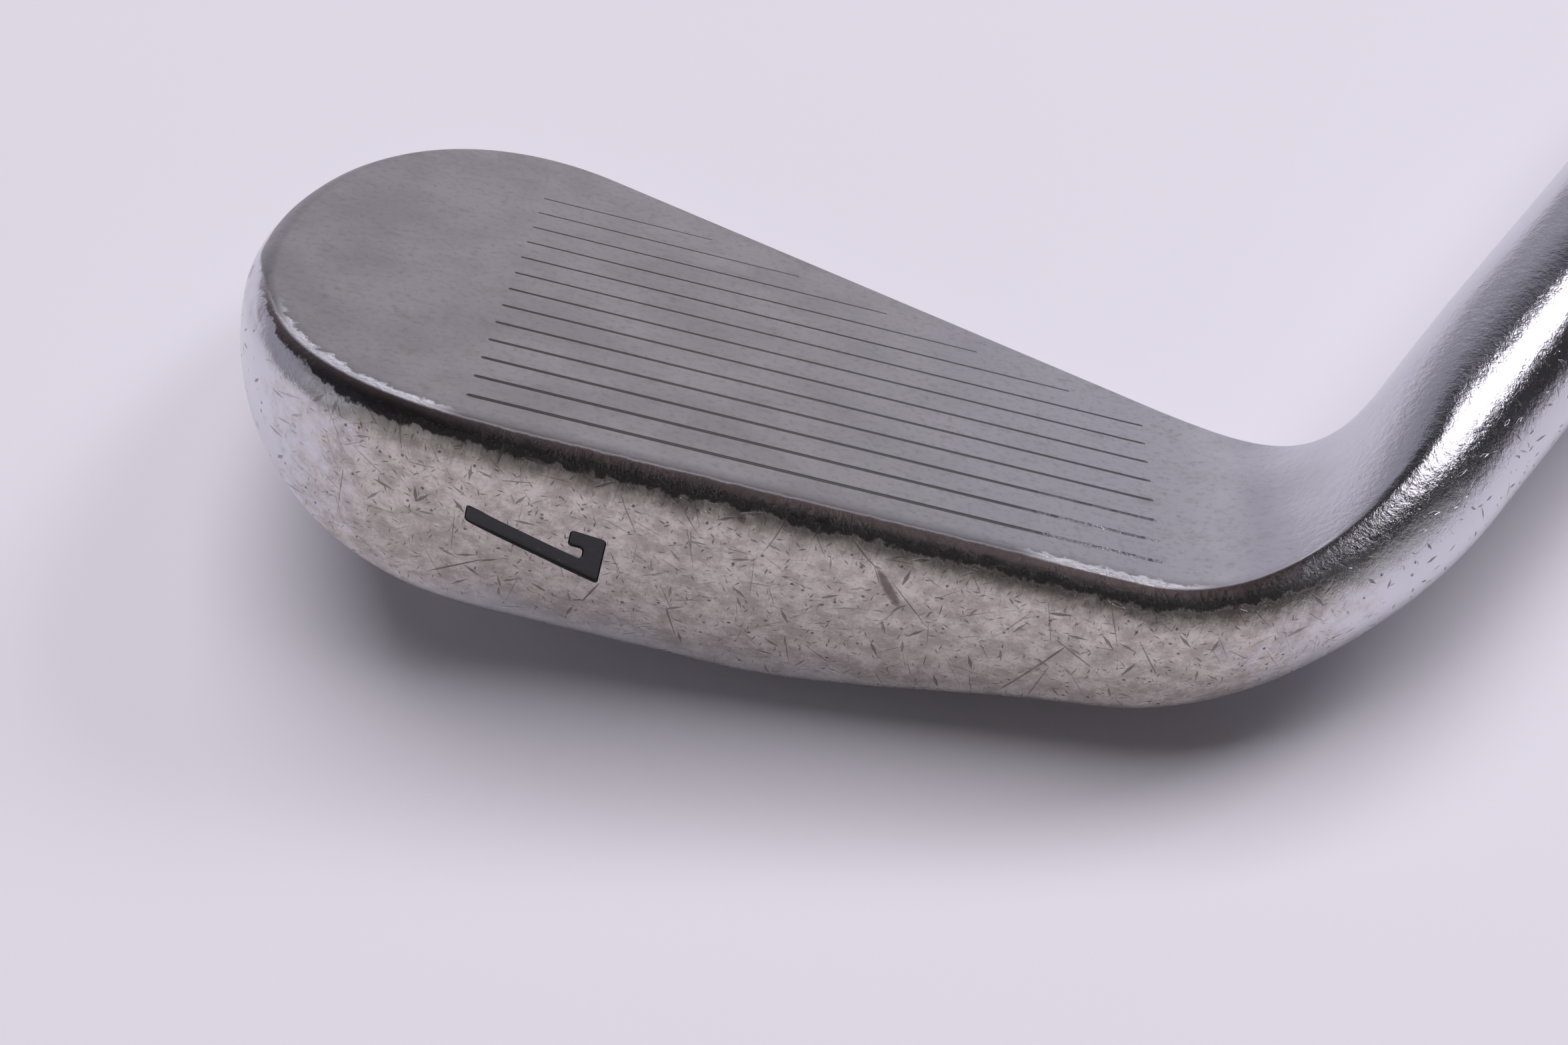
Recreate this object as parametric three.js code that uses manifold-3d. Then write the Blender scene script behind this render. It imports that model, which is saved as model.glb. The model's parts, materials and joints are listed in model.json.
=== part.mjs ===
// Right-handed seven iron: forged blade head, stepped steel shaft and rubber grip, lying face up.
// Millimetres. The head is drawn in face coordinates: x towards the heel along the scorelines,
// y up the face from the lowest scoreline, z out of the face. Pieces on the shaft are turned
// about the shaft axis, which starts where it meets the ground line and runs to the butt.
import * as THREE from 'three';
import { mergeGeometries, mergeVertices } from 'three/addons/utils/BufferGeometryUtils.js';
import Module from 'manifold-3d';

const wasm = await Module();
wasm.setup();

const { degToRad, lerp, smoothstep } = THREE.MathUtils;

// ---- club fitting ----
const LOFT = degToRad(34);
const LIE = degToRad(61.5);
const CLUB_LENGTH = 940;
const HEEL_X = 35.1;          // where the shaft axis meets the ground line
const GROUND_UP = -6.5;       // height of the ground line below the lowest scoreline
const AXIS_FORWARD = -0.7;    // shaft axis from the lowest scoreline, towards the target

// ---- the way the club lies ----
const LIE_ROLL = degToRad(13.1);
const BUTT_PITCH = degToRad(0.114);

// ---- face outline ----
const PIVOT = new THREE.Vector2(-21, 21);   // centre of the fan of toe sections
const TOPLINE_AT_ZERO = 41.6;
const TOPLINE_SLOPE = -0.44;
const LEADING_EDGE_Y = -7.2;
const TOE_X = -46.7;
const TOE_Y = 21;
const TOE_TOP_PULL = 15.3;    // handles of the toe's two arcs: at the topline, above and below
const TOE_ABOVE_PULL = 22;    // the toe's furthest point, and at the leading edge
const TOE_BELOW_PULL = 19;
const TOE_BOTTOM_PULL = 17.5;
const BLADE_END_X = 25;
const MID_AT_PIVOT = PIVOT.y;
const MID_AT_END = 11;
const SOLE_NARROWING = 7.6;   // how much narrower the sole is at the heel, and over which x
const NARROWS_FROM = -4;
const NARROWS_TO = 31;

// ---- hosel ----
const HOSEL_RADIUS = 6.85;
const HOSEL_START = 24;       // where the hosel runs straight, and where it does in the crotch
const CROTCH_START = 40;
const HOSEL_TOP = 74;
const BORE_RADIUS = 5;
const BORE_DEPTH = 31;
const MOUTH_CHAMFER = 0.6;
const CUT_MARGIN = 0.2;       // how far cutters stand out of the surface they cut
const SIDES = 32;

// ---- mesh fineness ----
const TOE_STEPS = 18;
const BLADE_STEPS = 10;
const HEEL_STEPS = 14;
const FLAT_STEPS = 2;
const ROLL_STEPS = 5;
const WALL_STEPS = 6;
const REAR_STEPS = 4;
const BACK_STEPS = 7;

// Section recipe at three places round the rim. wallAngle is the angle between the face and the
// wall behind it, camber the angle that the wall turns through, backAngle the heading at which
// the back leaves the rear edge.
const TOPLINE = {
  frontRadius: 0.9, wallAngle: 92, camber: 4, wallLength: 3.6, rearRadius: 1.1,
  backAngle: 2, backPull: 0.33, midThickness: 4.7,
};
const TOE_SIDE = {
  frontRadius: 2.2, wallAngle: 84, camber: 22, wallLength: 4.6, rearRadius: 2.2,
  backAngle: 8, backPull: 0.33, midThickness: 4.7,
};
const SOLE = {
  frontRadius: 2.6, wallAngle: 61, camber: 13, wallLength: 17.5, rearRadius: 2.4,
  backAngle: 42, backPull: 0.48, midThickness: 4.7,
};

function mix(a, b, k) {
  const out = {};
  for (const key of Object.keys(a)) out[key] = lerp(a[key], b[key], k);
  return out;
}

// Half a section, from the middle of the face round the rim to the middle of the back, as
// points (distance from the mid line, height above the face).
function halfSection(reach, recipe) {
  const wall = degToRad(recipe.wallAngle);
  const camber = degToRad(recipe.camber);
  const startAngle = wall + camber / 2;
  const flatEnd = reach - recipe.frontRadius / Math.tan(startAngle / 2);
  const points = [];
  for (let i = 0; i < FLAT_STEPS; i++) points.push([flatEnd * i / FLAT_STEPS, 0]);

  // arcs: the heading turns clockwise from straight outward
  let heading = 0;
  let at = [flatEnd, 0];
  points.push(at);
  function arc(turn, length, steps) {
    for (let i = 0; i < steps; i++) {
      const half = turn / steps / 2;
      const chord = Math.abs(half) > 1e-6 ? (length / steps) * Math.sin(half) / half : length / steps;
      heading += half;
      at = [at[0] + chord * Math.cos(heading), at[1] - chord * Math.sin(heading)];
      heading += half;
      points.push(at);
    }
  }
  const frontTurn = Math.PI - startAngle;
  arc(frontTurn, frontTurn * recipe.frontRadius, ROLL_STEPS);
  arc(camber, recipe.wallLength, WALL_STEPS);
  const rearTurn = Math.PI + degToRad(recipe.backAngle) - heading;
  arc(rearTurn, rearTurn * recipe.rearRadius, REAR_STEPS);

  // back: one smooth curve that comes in level with the face at the mid line
  const end = [0, -recipe.midThickness];
  const pull = Math.hypot(at[0] - end[0], at[1] - end[1]) * recipe.backPull;
  const back = new THREE.CubicBezierCurve(
    new THREE.Vector2(...at),
    new THREE.Vector2(at[0] + pull * Math.cos(heading), at[1] - pull * Math.sin(heading)),
    new THREE.Vector2(end[0] + pull, end[1]),
    new THREE.Vector2(...end),
  );
  for (let i = 1; i <= BACK_STEPS; i++) points.push(back.getPoint(i / BACK_STEPS).toArray());
  return points;
}

const toplineY = (x) => TOPLINE_AT_ZERO + TOPLINE_SLOPE * x;
const midY = (x) => lerp(MID_AT_PIVOT, MID_AT_END, (x - PIVOT.x) / (BLADE_END_X - PIVOT.x));

// Sole width along the blade: widest just on the toe side of centre, narrow at the heel.
function soleRecipe(x) {
  const narrowing = SOLE_NARROWING * smoothstep(x, NARROWS_FROM, NARROWS_TO);
  return { ...SOLE, wallLength: SOLE.wallLength - narrowing };
}

// Rim of the toe, from the topline round to the leading edge.
const slopeRun = new THREE.Vector2(-1, -TOPLINE_SLOPE).normalize();
const toeTop = new THREE.Vector2(PIVOT.x, toplineY(PIVOT.x));
const toePoint = new THREE.Vector2(TOE_X, TOE_Y);
const toeBottom = new THREE.Vector2(PIVOT.x, LEADING_EDGE_Y);
const upperToe = new THREE.CubicBezierCurve(
  toeTop,
  toeTop.clone().addScaledVector(slopeRun, TOE_TOP_PULL),
  new THREE.Vector2(TOE_X, TOE_Y + TOE_ABOVE_PULL),
  toePoint,
);
const lowerToe = new THREE.CubicBezierCurve(
  toePoint,
  new THREE.Vector2(TOE_X, TOE_Y - TOE_BELOW_PULL),
  new THREE.Vector2(PIVOT.x - TOE_BOTTOM_PULL, LEADING_EDGE_Y),
  toeBottom,
);

function toeHalf(k) {
  const upper = k < 0.5;
  const curve = upper ? upperToe : lowerToe;
  const rim = curve.getPoint(upper ? k * 2 : k * 2 - 1);
  const recipe = upper
    ? mix(TOPLINE, TOE_SIDE, smoothstep(k, 0, 0.5))
    : mix(TOE_SIDE, soleRecipe(PIVOT.x), smoothstep(k, 0.5, 1));
  const out = rim.sub(PIVOT);
  const reach = out.length();
  out.divideScalar(reach);
  return halfSection(reach, recipe).map(([e, z]) => [PIVOT.x + out.x * e, PIVOT.y + out.y * e, z]);
}

function bladeLoop(x) {
  const mid = midY(x);
  const upper = halfSection(toplineY(x) - mid, TOPLINE).map(([e, z]) => [x, mid + e, z]);
  const lower = halfSection(mid - LEADING_EDGE_Y, soleRecipe(x)).map(([e, z]) => [x, mid - e, z]);
  return [...upper, ...lower.slice(1, -1).reverse()];
}

// ---- hosel frame in face coordinates ----
const towardsTarget = new THREE.Vector3(0, -Math.sin(LOFT), Math.cos(LOFT));
const upright = new THREE.Vector3(0, Math.cos(LOFT), Math.sin(LOFT));
const heelward = new THREE.Vector3(1, 0, 0);
const shaftAxis = heelward.clone().multiplyScalar(Math.cos(LIE)).addScaledVector(upright, Math.sin(LIE));
const toeSide = heelward.clone().multiplyScalar(-Math.sin(LIE)).addScaledVector(upright, Math.cos(LIE));
const shaftFoot = heelward.clone().multiplyScalar(HEEL_X)
  .addScaledVector(upright, GROUND_UP).addScaledVector(towardsTarget, AXIS_FORWARD);

const HEEL_PULL = 0.36;
const CROTCH_LEAVE = 0.66;
const CROTCH_ARRIVE = 0.78;

// Places round the hosel, in degrees from its front towards the toe side, that the mid line of
// the face and the corners of the blade section run into.
const UPPER_STOPS = [32, 56, 70, 98, 112, 180];
const LOWER_STOPS = [32, 8, -50, -118, -140, -180];
const STEP_RUNS = [FLAT_STEPS, ROLL_STEPS, WALL_STEPS, REAR_STEPS, BACK_STEPS];

function spreadAngles(stops) {
  const angles = [stops[0]];
  STEP_RUNS.forEach((run, r) => {
    for (let i = 1; i <= run; i++) angles.push(lerp(stops[r], stops[r + 1], i / run));
  });
  return angles;
}

const loopAngles = [
  ...spreadAngles(UPPER_STOPS),
  ...spreadAngles(LOWER_STOPS).slice(1, -1).reverse(),
];
const inCrotch = loopAngles.map((degrees) => Math.max(0, Math.sin(degToRad(degrees))));
const straightFrom = inCrotch.map((share) => lerp(HOSEL_START, CROTCH_START, share));
const hoselEnd = loopAngles.map(() => HOSEL_TOP);

// Points round the hosel, each at its own distance along the axis.
function hoselLoop(along) {
  return loopAngles.map((degrees, i) => {
    const a = degToRad(degrees);
    return shaftFoot.clone().addScaledVector(shaftAxis, along[i])
      .addScaledVector(towardsTarget, HOSEL_RADIUS * Math.cos(a))
      .addScaledVector(toeSide, HOSEL_RADIUS * Math.sin(a)).toArray();
  });
}

// Heel: each point of the blade's last section runs on its own smooth curve into the hosel. The
// curves on the toe side hold their line longest, which keeps the crotch tight.
function heelLoops() {
  const step = 0.5;
  const from = bladeLoop(BLADE_END_X);
  const before = bladeLoop(BLADE_END_X - step);
  const to = hoselLoop(straightFrom);
  const strands = from.map((p, i) => {
    const start = new THREE.Vector3(...p);
    const end = new THREE.Vector3(...to[i]);
    const leave = start.clone().sub(new THREE.Vector3(...before[i])).normalize();
    const span = start.distanceTo(end);
    return new THREE.CubicBezierCurve3(
      start,
      start.clone().addScaledVector(leave, span * lerp(HEEL_PULL, CROTCH_LEAVE, inCrotch[i])),
      end.clone().addScaledVector(shaftAxis, -span * lerp(HEEL_PULL, CROTCH_ARRIVE, inCrotch[i])),
      end,
    );
  });
  const loops = [];
  for (let k = 1; k <= HEEL_STEPS; k++) {
    loops.push(strands.map((strand) => strand.getPoint(k / HEEL_STEPS).toArray()));
  }
  return loops;
}

// ---- mesh and boolean helpers ----
function meshGeometry(vertices, triangles) {
  const geometry = new THREE.BufferGeometry();
  geometry.setAttribute('position', new THREE.Float32BufferAttribute(vertices.flat(), 3));
  geometry.setIndex(triangles.flat());
  return geometry;
}

function toManifold(geometry) {
  const bare = geometry.clone();
  bare.deleteAttribute('normal');
  bare.deleteAttribute('uv');
  const merged = mergeVertices(bare, 1e-4);
  return new wasm.Manifold(new wasm.Mesh({
    numProp: 3,
    vertProperties: new Float32Array(merged.attributes.position.array),
    triVerts: new Uint32Array(merged.index.array),
  }));
}

function fromManifold(solid) {
  const mesh = solid.getMesh();
  const geometry = new THREE.BufferGeometry();
  geometry.setAttribute('position', new THREE.BufferAttribute(new Float32Array(mesh.vertProperties), 3));
  geometry.setIndex(Array.from(mesh.triVerts));
  geometry.computeVertexNormals();
  return geometry;
}

function material(color, roughness, metalness) {
  return new THREE.MeshStandardMaterial({ color, roughness, metalness });
}

function piece(name, geometry, look) {
  const mesh = new THREE.Mesh(geometry, look);
  mesh.name = name;
  return mesh;
}

// ---- clubhead body ----
function headGeometry() {
  const vertices = [];
  const triangles = [];
  const add = (points) => points.map((p) => vertices.push(p) - 1);
  const quad = (a, b, c, d) => triangles.push([a, b, c], [a, c, d]);

  const loops = [];
  for (let i = 0; i <= BLADE_STEPS; i++) {
    loops.push(bladeLoop(lerp(PIVOT.x, BLADE_END_X, i / BLADE_STEPS)));
  }
  loops.push(...heelLoops(), hoselLoop(hoselEnd));
  const rings = loops.map(add);
  const count = rings[0].length;
  for (let r = 1; r < rings.length; r++) {
    for (let i = 0; i < count; i++) {
      const j = (i + 1) % count;
      quad(rings[r - 1][i], rings[r][i], rings[r][j], rings[r - 1][j]);
    }
  }

  // toe fan between the two halves of the first section
  const half = loopAngles.length / 2;
  const first = rings[0];
  const upperHalf = first.slice(0, half + 1);
  const lowerHalf = [first[0], ...first.slice(half).reverse()];
  let previous = upperHalf;
  for (let k = 1; k <= TOE_STEPS; k++) {
    const last = k === TOE_STEPS;
    const inner = last ? null : add(toeHalf(k / TOE_STEPS).slice(1, -1));
    const current = last ? lowerHalf : [first[0], ...inner, first[half]];
    for (let i = 0; i < half; i++) {
      if (i > 0) triangles.push([previous[i], previous[i + 1], current[i]]);
      if (i === 0) triangles.push([previous[0], previous[1], current[1]]);
      else if (i < half - 1) triangles.push([previous[i + 1], current[i + 1], current[i]]);
    }
    previous = current;
  }

  // flat top of the hosel
  const topRing = rings[rings.length - 1];
  const [centre] = add([shaftFoot.clone().addScaledVector(shaftAxis, HOSEL_TOP).toArray()]);
  for (let i = 0; i < count; i++) triangles.push([centre, topRing[(i + 1) % count], topRing[i]]);
  return meshGeometry(vertices, triangles);
}

// A closed outline (in x and y) given thickness, moved by a matrix.
function prism(outline, low, high, place) {
  const shape = new THREE.Shape(outline);
  const geometry = new THREE.ExtrudeGeometry(shape, { depth: high - low, bevelEnabled: false });
  return geometry.translate(0, 0, low).applyMatrix4(place);
}

// A ring or solid of revolution on the shaft axis: a closed profile of (radius, distance along).
function turned(profile) {
  const points = [...profile, profile[0]].map(([radius, along]) => new THREE.Vector2(radius, along));
  return new THREE.LatheGeometry(points, SIDES);
}

function sleeve(inner, outer, from, to) {
  return turned([[inner, from], [outer, from], [outer, to], [inner, to]]);
}

// ---- scorelines ----
const SCORE_COUNT = 13;
const SCORE_PITCH = 3.5;
const SCORE_HALF_LENGTH = 26.5;
const SCORE_WIDTH = 0.52;
const SCORE_DEPTH = 0.26;
const TOPLINE_MARGIN = 10.6;    // the upper scorelines stop this far short of the topline

function scoreline(index) {
  const y = index * SCORE_PITCH;
  const heelEnd = Math.min(SCORE_HALF_LENGTH, (TOPLINE_AT_ZERO - y) / -TOPLINE_SLOPE - TOPLINE_MARGIN);
  const half = SCORE_WIDTH / 2;
  const flared = half + half / 2 * CUT_MARGIN / SCORE_DEPTH;
  const section = [
    new THREE.Vector2(-flared, CUT_MARGIN),
    new THREE.Vector2(-half / 2, -SCORE_DEPTH),
    new THREE.Vector2(half / 2, -SCORE_DEPTH),
    new THREE.Vector2(flared, CUT_MARGIN),
  ];
  const place = new THREE.Matrix4().makeBasis(
    new THREE.Vector3(0, 1, 0), new THREE.Vector3(0, 0, 1), new THREE.Vector3(1, 0, 0));
  place.setPosition(0, y, 0);
  return prism(section, -SCORE_HALF_LENGTH, heelEnd, place);
}

// ---- number stamped in the sole ----
// The figure stands with its top towards the heel. Its outline runs round (across the sole,
// along the sole) from the foot of the stem.
const STAMP_CENTRE = new THREE.Vector3(-19.5, -2.9, -9.4);
const STAMP_DEPTH = 0.7;
const STAMP_CLEARANCE = 1;      // the stamp's cutter reaches this far above the sole
const PAINT_INSET = 0.12;
const PAINT_GAP = 0.1;
const PAINT_TOP = -0.3;
const STAMP_STROKES = [
  [-3.0, -5.3], [-1.0, -5.3], [3.2, 5.4], [-2.7, 5.4], [-3.0, 2.6], [-1.0, 2.6], [-1.0, 3.8], [0.4, 3.8],
];

// The figure drawn in from its edge by a margin.
function stampOutline(margin) {
  const corners = STAMP_STROKES.map((p) => new THREE.Vector2(...p));
  return corners.map((corner, i) => {
    const before = corners[(i + corners.length - 1) % corners.length];
    const after = corners[(i + 1) % corners.length];
    const inward = [[before, corner], [corner, after]].map(([a, b]) => {
      const run = b.clone().sub(a).normalize();
      return new THREE.Vector2(-run.y, run.x);
    });
    const bisector = inward[0].clone().add(inward[1]).normalize();
    return corner.clone().addScaledVector(bisector, margin / bisector.dot(inward[0]));
  });
}

function stampPlace() {
  const wall = degToRad(SOLE.wallAngle);
  const acrossSole = new THREE.Vector3(0, Math.cos(wall), -Math.sin(wall));
  const outward = new THREE.Vector3(0, -Math.sin(wall), -Math.cos(wall));
  return new THREE.Matrix4().makeBasis(acrossSole, heelward, outward).setPosition(STAMP_CENTRE);
}

// ---- the shaft axis in face coordinates: the turned pieces' own Y runs along it ----
const shaftPlace = new THREE.Matrix4().makeBasis(
  new THREE.Vector3().crossVectors(shaftAxis, towardsTarget), shaftAxis, towardsTarget);
shaftPlace.setPosition(shaftFoot);

const bore = turned([
  [0, HOSEL_TOP - BORE_DEPTH], [BORE_RADIUS, HOSEL_TOP - BORE_DEPTH],
  [BORE_RADIUS, HOSEL_TOP - MOUTH_CHAMFER],
  [BORE_RADIUS + MOUTH_CHAMFER + CUT_MARGIN, HOSEL_TOP + CUT_MARGIN], [0, HOSEL_TOP + CUT_MARGIN],
]).applyMatrix4(shaftPlace);

// ---- shallow pocket milled in the back, behind the thin part of the face ----
const POCKET_CORNERS = [[-33, 22], [-31, 42], [14, 27.5], [17, 17], [-24, 15.5]];
const POCKET_ROUNDING = 5;
const POCKET_CUT_FROM = -30;    // behind the whole head
const FACE_THICKNESS = 3;
const ARC_POINTS = 4;

function roundedOutline(corners, radius) {
  const points = corners.map((p) => new THREE.Vector2(...p));
  const outline = [];
  points.forEach((corner, i) => {
    const before = points[(i + points.length - 1) % points.length];
    const after = points[(i + 1) % points.length];
    const from = corner.clone().addScaledVector(before.clone().sub(corner).normalize(), radius);
    const to = corner.clone().addScaledVector(after.clone().sub(corner).normalize(), radius);
    outline.push(...new THREE.QuadraticBezierCurve(from, corner, to).getPoints(ARC_POINTS));
  });
  return outline;
}

function clubhead() {
  let solid = toManifold(headGeometry()).subtract(toManifold(bore));
  const pocketOutline = roundedOutline(POCKET_CORNERS, POCKET_ROUNDING);
  const pocket = prism(pocketOutline, POCKET_CUT_FROM, -FACE_THICKNESS, new THREE.Matrix4());
  solid = solid.subtract(toManifold(pocket));
  for (let i = 0; i < SCORE_COUNT; i++) solid = solid.subtract(toManifold(scoreline(i)));
  const stamp = prism(stampOutline(0), -STAMP_DEPTH, STAMP_CLEARANCE, stampPlace());
  return fromManifold(solid.subtract(toManifold(stamp)));
}

function numberPaint() {
  return prism(stampOutline(PAINT_INSET), -STAMP_DEPTH + PAINT_GAP, PAINT_TOP, stampPlace());
}

// ---- colours ----
const chrome = material(0xb9b7b8, 0.25, 1);
const blackPaint = material(0x141415, 0.6, 0);
const blackPlastic = material(0x101011, 0.35, 0);
const silverTrim = material(0xc8c9cc, 0.3, 1);
const epoxy = material(0xb9a888, 0.5, 0);
const brass = material(0xb08d4a, 0.35, 1);
const shaftSteel = material(0xc2c4c7, 0.18, 1);
const bandFilm = material(0x2b3a55, 0.4, 0);
const tapeCloth = material(0xd8d2c2, 0.9, 0);
const rubber = material(0x1b1b1c, 0.85, 0);

// ---- ferrule ----
const FERRULE_FROM = HOSEL_TOP + 0.3;
const FERRULE_LENGTH = 22;
const TIP_RADIUS = 4.6;
const RING_FROM = 4;
const RING_WIDTH = 1.4;
const RING_DEPTH = 0.4;
const FIT_GAP = 0.1;
const FERRULE_STRAIGHT = 0.35;  // share of the ferrule that is as wide as the hosel
const FERRULE_TIP_WALL = 0.7;
const FERRULE_CURVE = 1.6;
const FERRULE_BREAK = 0.3;
const FERRULE_RINGS = 8;

function ferruleRadius(k) {
  const tapered = Math.max(0, k - FERRULE_STRAIGHT) / (1 - FERRULE_STRAIGHT);
  return lerp(HOSEL_RADIUS, TIP_RADIUS + FERRULE_TIP_WALL, tapered ** FERRULE_CURVE);
}

function ferruleProfile() {
  const at = (z) => [ferruleRadius(z / FERRULE_LENGTH), FERRULE_FROM + z];
  const inner = TIP_RADIUS + FIT_GAP;
  const ringFloor = HOSEL_RADIUS - RING_DEPTH;
  const ringTo = RING_FROM + RING_WIDTH;
  const points = [[inner, FERRULE_FROM], [HOSEL_RADIUS - FERRULE_BREAK / 2, FERRULE_FROM], at(FERRULE_BREAK)];
  points.push(at(RING_FROM), [ringFloor, FERRULE_FROM + RING_FROM]);
  points.push([ringFloor, FERRULE_FROM + ringTo], at(ringTo));
  for (let i = 3; i <= FERRULE_RINGS; i++) points.push(at(FERRULE_LENGTH * i / FERRULE_RINGS));
  points.push([inner, FERRULE_FROM + FERRULE_LENGTH]);
  return points;
}

// ---- stepped shaft ----
const SHAFT_FROM = 45;
const SHORT_OF_BUTT = 6;
const SHAFT_TO = CLUB_LENGTH - SHORT_OF_BUTT;
const TIP_BREAK = 0.3;
const FIRST_STEP = 215;
const STEP_SPACING = 35;
const STEP_COUNT = 11;
const STEP_RISE = 1.2;
const BUTT_RADIUS = 7.5;
const BORE_AT_TIP = 4;
const BORE_AT_BUTT = 7.15;

function shaftProfile() {
  const lastStep = FIRST_STEP + STEP_COUNT * STEP_SPACING;
  const radiusAfter = (steps) => lerp(TIP_RADIUS, BUTT_RADIUS, steps / (STEP_COUNT + 1));
  const points = [[BORE_AT_TIP, SHAFT_FROM]];
  points.push([TIP_RADIUS - TIP_BREAK, SHAFT_FROM], [TIP_RADIUS, SHAFT_FROM + TIP_BREAK]);
  for (let i = 0; i <= STEP_COUNT; i++) {
    const foot = FIRST_STEP + i * STEP_SPACING;
    points.push([radiusAfter(i), foot], [radiusAfter(i + 1), foot + STEP_RISE]);
  }
  points.push([BUTT_RADIUS, SHAFT_TO], [BORE_AT_BUTT, SHAFT_TO]);
  points.push([BORE_AT_BUTT, lastStep + STEP_SPACING], [BORE_AT_TIP, FIRST_STEP]);
  return points;
}

// ---- film band below the grip ----
const BAND_FROM = 612;
const BAND_TO = 650;
const BAND_INNER = BUTT_RADIUS + 0.08;
const BAND_OUTER = BUTT_RADIUS + 0.2;

// ---- swing weight: a headed pin pushed into the shaft tip ----
const PIN_PROFILE = [
  [0, 43.3], [4.4, 43.3], [4.4, 44.6], [3.8, 44.6], [3.8, 56], [3.2, 57.5], [0, 57.5],
];

// ---- glue sleeve between shaft tip and bore ----
const GLUE_FROM = SHAFT_FROM + 0.5;
const GLUE_TO = HOSEL_TOP - 0.7;

// ---- grip ----
const GRIP_FROM = 672;
const CAP_THICKNESS = 4;
const CAP_GAP = 0.3;
const GRIP_TO = CLUB_LENGTH - CAP_THICKNESS - CAP_GAP;
const GRIP_MOUTH_RADIUS = 9;
const GRIP_BUTT_RADIUS = 13.2;
const BUTT_FLARE = 0.4;
const GRIP_TAPER = 1.25;        // above 1: the grip widens faster towards the butt
const GRIP_RINGS = 8;
const MOUTH_LENGTH = 2;
const MOUTH_WALL = 0.6;
const MOUTH_BREAK = 0.25;
const BUTT_LENGTH = 4;
const TAPE_INNER = BUTT_RADIUS + FIT_GAP;
const TAPE_THICKNESS = 0.15;
const TAPE_OUTER = TAPE_INNER + TAPE_THICKNESS;
const TAPE_FROM = GRIP_FROM + 4;
const TAPE_TO = SHAFT_TO - 1;
const GRIP_INNER = TAPE_OUTER + FIT_GAP;

function gripRadius(k) {
  return lerp(GRIP_MOUTH_RADIUS, GRIP_BUTT_RADIUS - BUTT_FLARE, k ** GRIP_TAPER);
}

function gripProfile() {
  const from = GRIP_FROM + MOUTH_LENGTH;
  const to = GRIP_TO - BUTT_LENGTH;
  const points = [[GRIP_INNER, GRIP_FROM], [GRIP_INNER + MOUTH_WALL, GRIP_FROM]];
  points.push([GRIP_MOUTH_RADIUS - MOUTH_BREAK, GRIP_FROM + MOUTH_LENGTH / 2]);
  for (let i = 0; i <= GRIP_RINGS; i++) {
    const share = i / GRIP_RINGS;
    points.push([gripRadius(share), lerp(from, to, share)]);
  }
  points.push([GRIP_BUTT_RADIUS, GRIP_TO - BUTT_LENGTH / 2]);
  points.push([GRIP_BUTT_RADIUS, GRIP_TO], [GRIP_INNER, GRIP_TO]);
  return points;
}

const VENT_RADIUS = 1;
const CAP_FROM = CLUB_LENGTH - CAP_THICKNESS;
const CAP_SIDE = 1.8;           // height of the cap's straight side; the rest rounds in to the end
const CAP_SHOULDER_IN = 0.7;
const CAP_SHOULDER_UP = 3.2;
const CAP_END_IN = 2.2;
const capProfile = [
  [VENT_RADIUS, CAP_FROM],
  [GRIP_BUTT_RADIUS, CAP_FROM],
  [GRIP_BUTT_RADIUS, CAP_FROM + CAP_SIDE],
  [GRIP_BUTT_RADIUS - CAP_SHOULDER_IN, CAP_FROM + CAP_SHOULDER_UP],
  [GRIP_BUTT_RADIUS - CAP_END_IN, CLUB_LENGTH],
  [VENT_RADIUS, CLUB_LENGTH],
];

// ---- assembly ----
const headGroup = new THREE.Group();
headGroup.add(
  piece('clubhead', clubhead(), chrome),
  piece('sole_number_paint', numberPaint(), blackPaint),
);
headGroup.applyMatrix4(shaftPlace.clone().invert());

const club = new THREE.Group();
club.add(
  headGroup,
  piece('tip_weight', turned(PIN_PROFILE), brass),
  piece('epoxy_bond', sleeve(TIP_RADIUS + FIT_GAP, BORE_RADIUS - FIT_GAP, GLUE_FROM, GLUE_TO), epoxy),
  piece('ferrule', turned(ferruleProfile()), blackPlastic),
  piece('ferrule_ring', sleeve(
    HOSEL_RADIUS - RING_DEPTH + FIT_GAP, HOSEL_RADIUS,
    FERRULE_FROM + RING_FROM + FIT_GAP, FERRULE_FROM + RING_FROM + RING_WIDTH - FIT_GAP), silverTrim),
  piece('shaft', turned(shaftProfile()), shaftSteel),
  piece('shaft_band', sleeve(BAND_INNER, BAND_OUTER, BAND_FROM, BAND_TO), bandFilm),
  piece('grip_tape', sleeve(TAPE_INNER, TAPE_OUTER, TAPE_FROM, TAPE_TO), tapeCloth),
  piece('grip', turned(gripProfile()), rubber),
  piece('grip_cap', turned(capProfile), rubber),
);

// Laid down face up: the shaft along +X, the toe towards +Y and the target side up. The club is
// then rolled about its shaft and pitched until toe, sole and butt touch the table together.
club.applyMatrix4(new THREE.Matrix4().makeBasis(
  new THREE.Vector3(0, -1, 0), new THREE.Vector3(1, 0, 0), new THREE.Vector3(0, 0, 1)));
const lying = new THREE.Group();
lying.add(club);
lying.rotation.set(LIE_ROLL, BUTT_PITCH, 0, 'YXZ');

// The origin is under the middle of the club, on the table.
const placed = new THREE.Group();
placed.add(lying);
const box = new THREE.Box3().setFromObject(placed, true);
const middle = box.getCenter(new THREE.Vector3());
lying.position.set(-middle.x, -middle.y, -box.min.z);

export default placed;
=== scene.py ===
import json
import math

import bpy
import numpy as np
from mathutils import Euler, Matrix, Vector, noise


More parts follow.
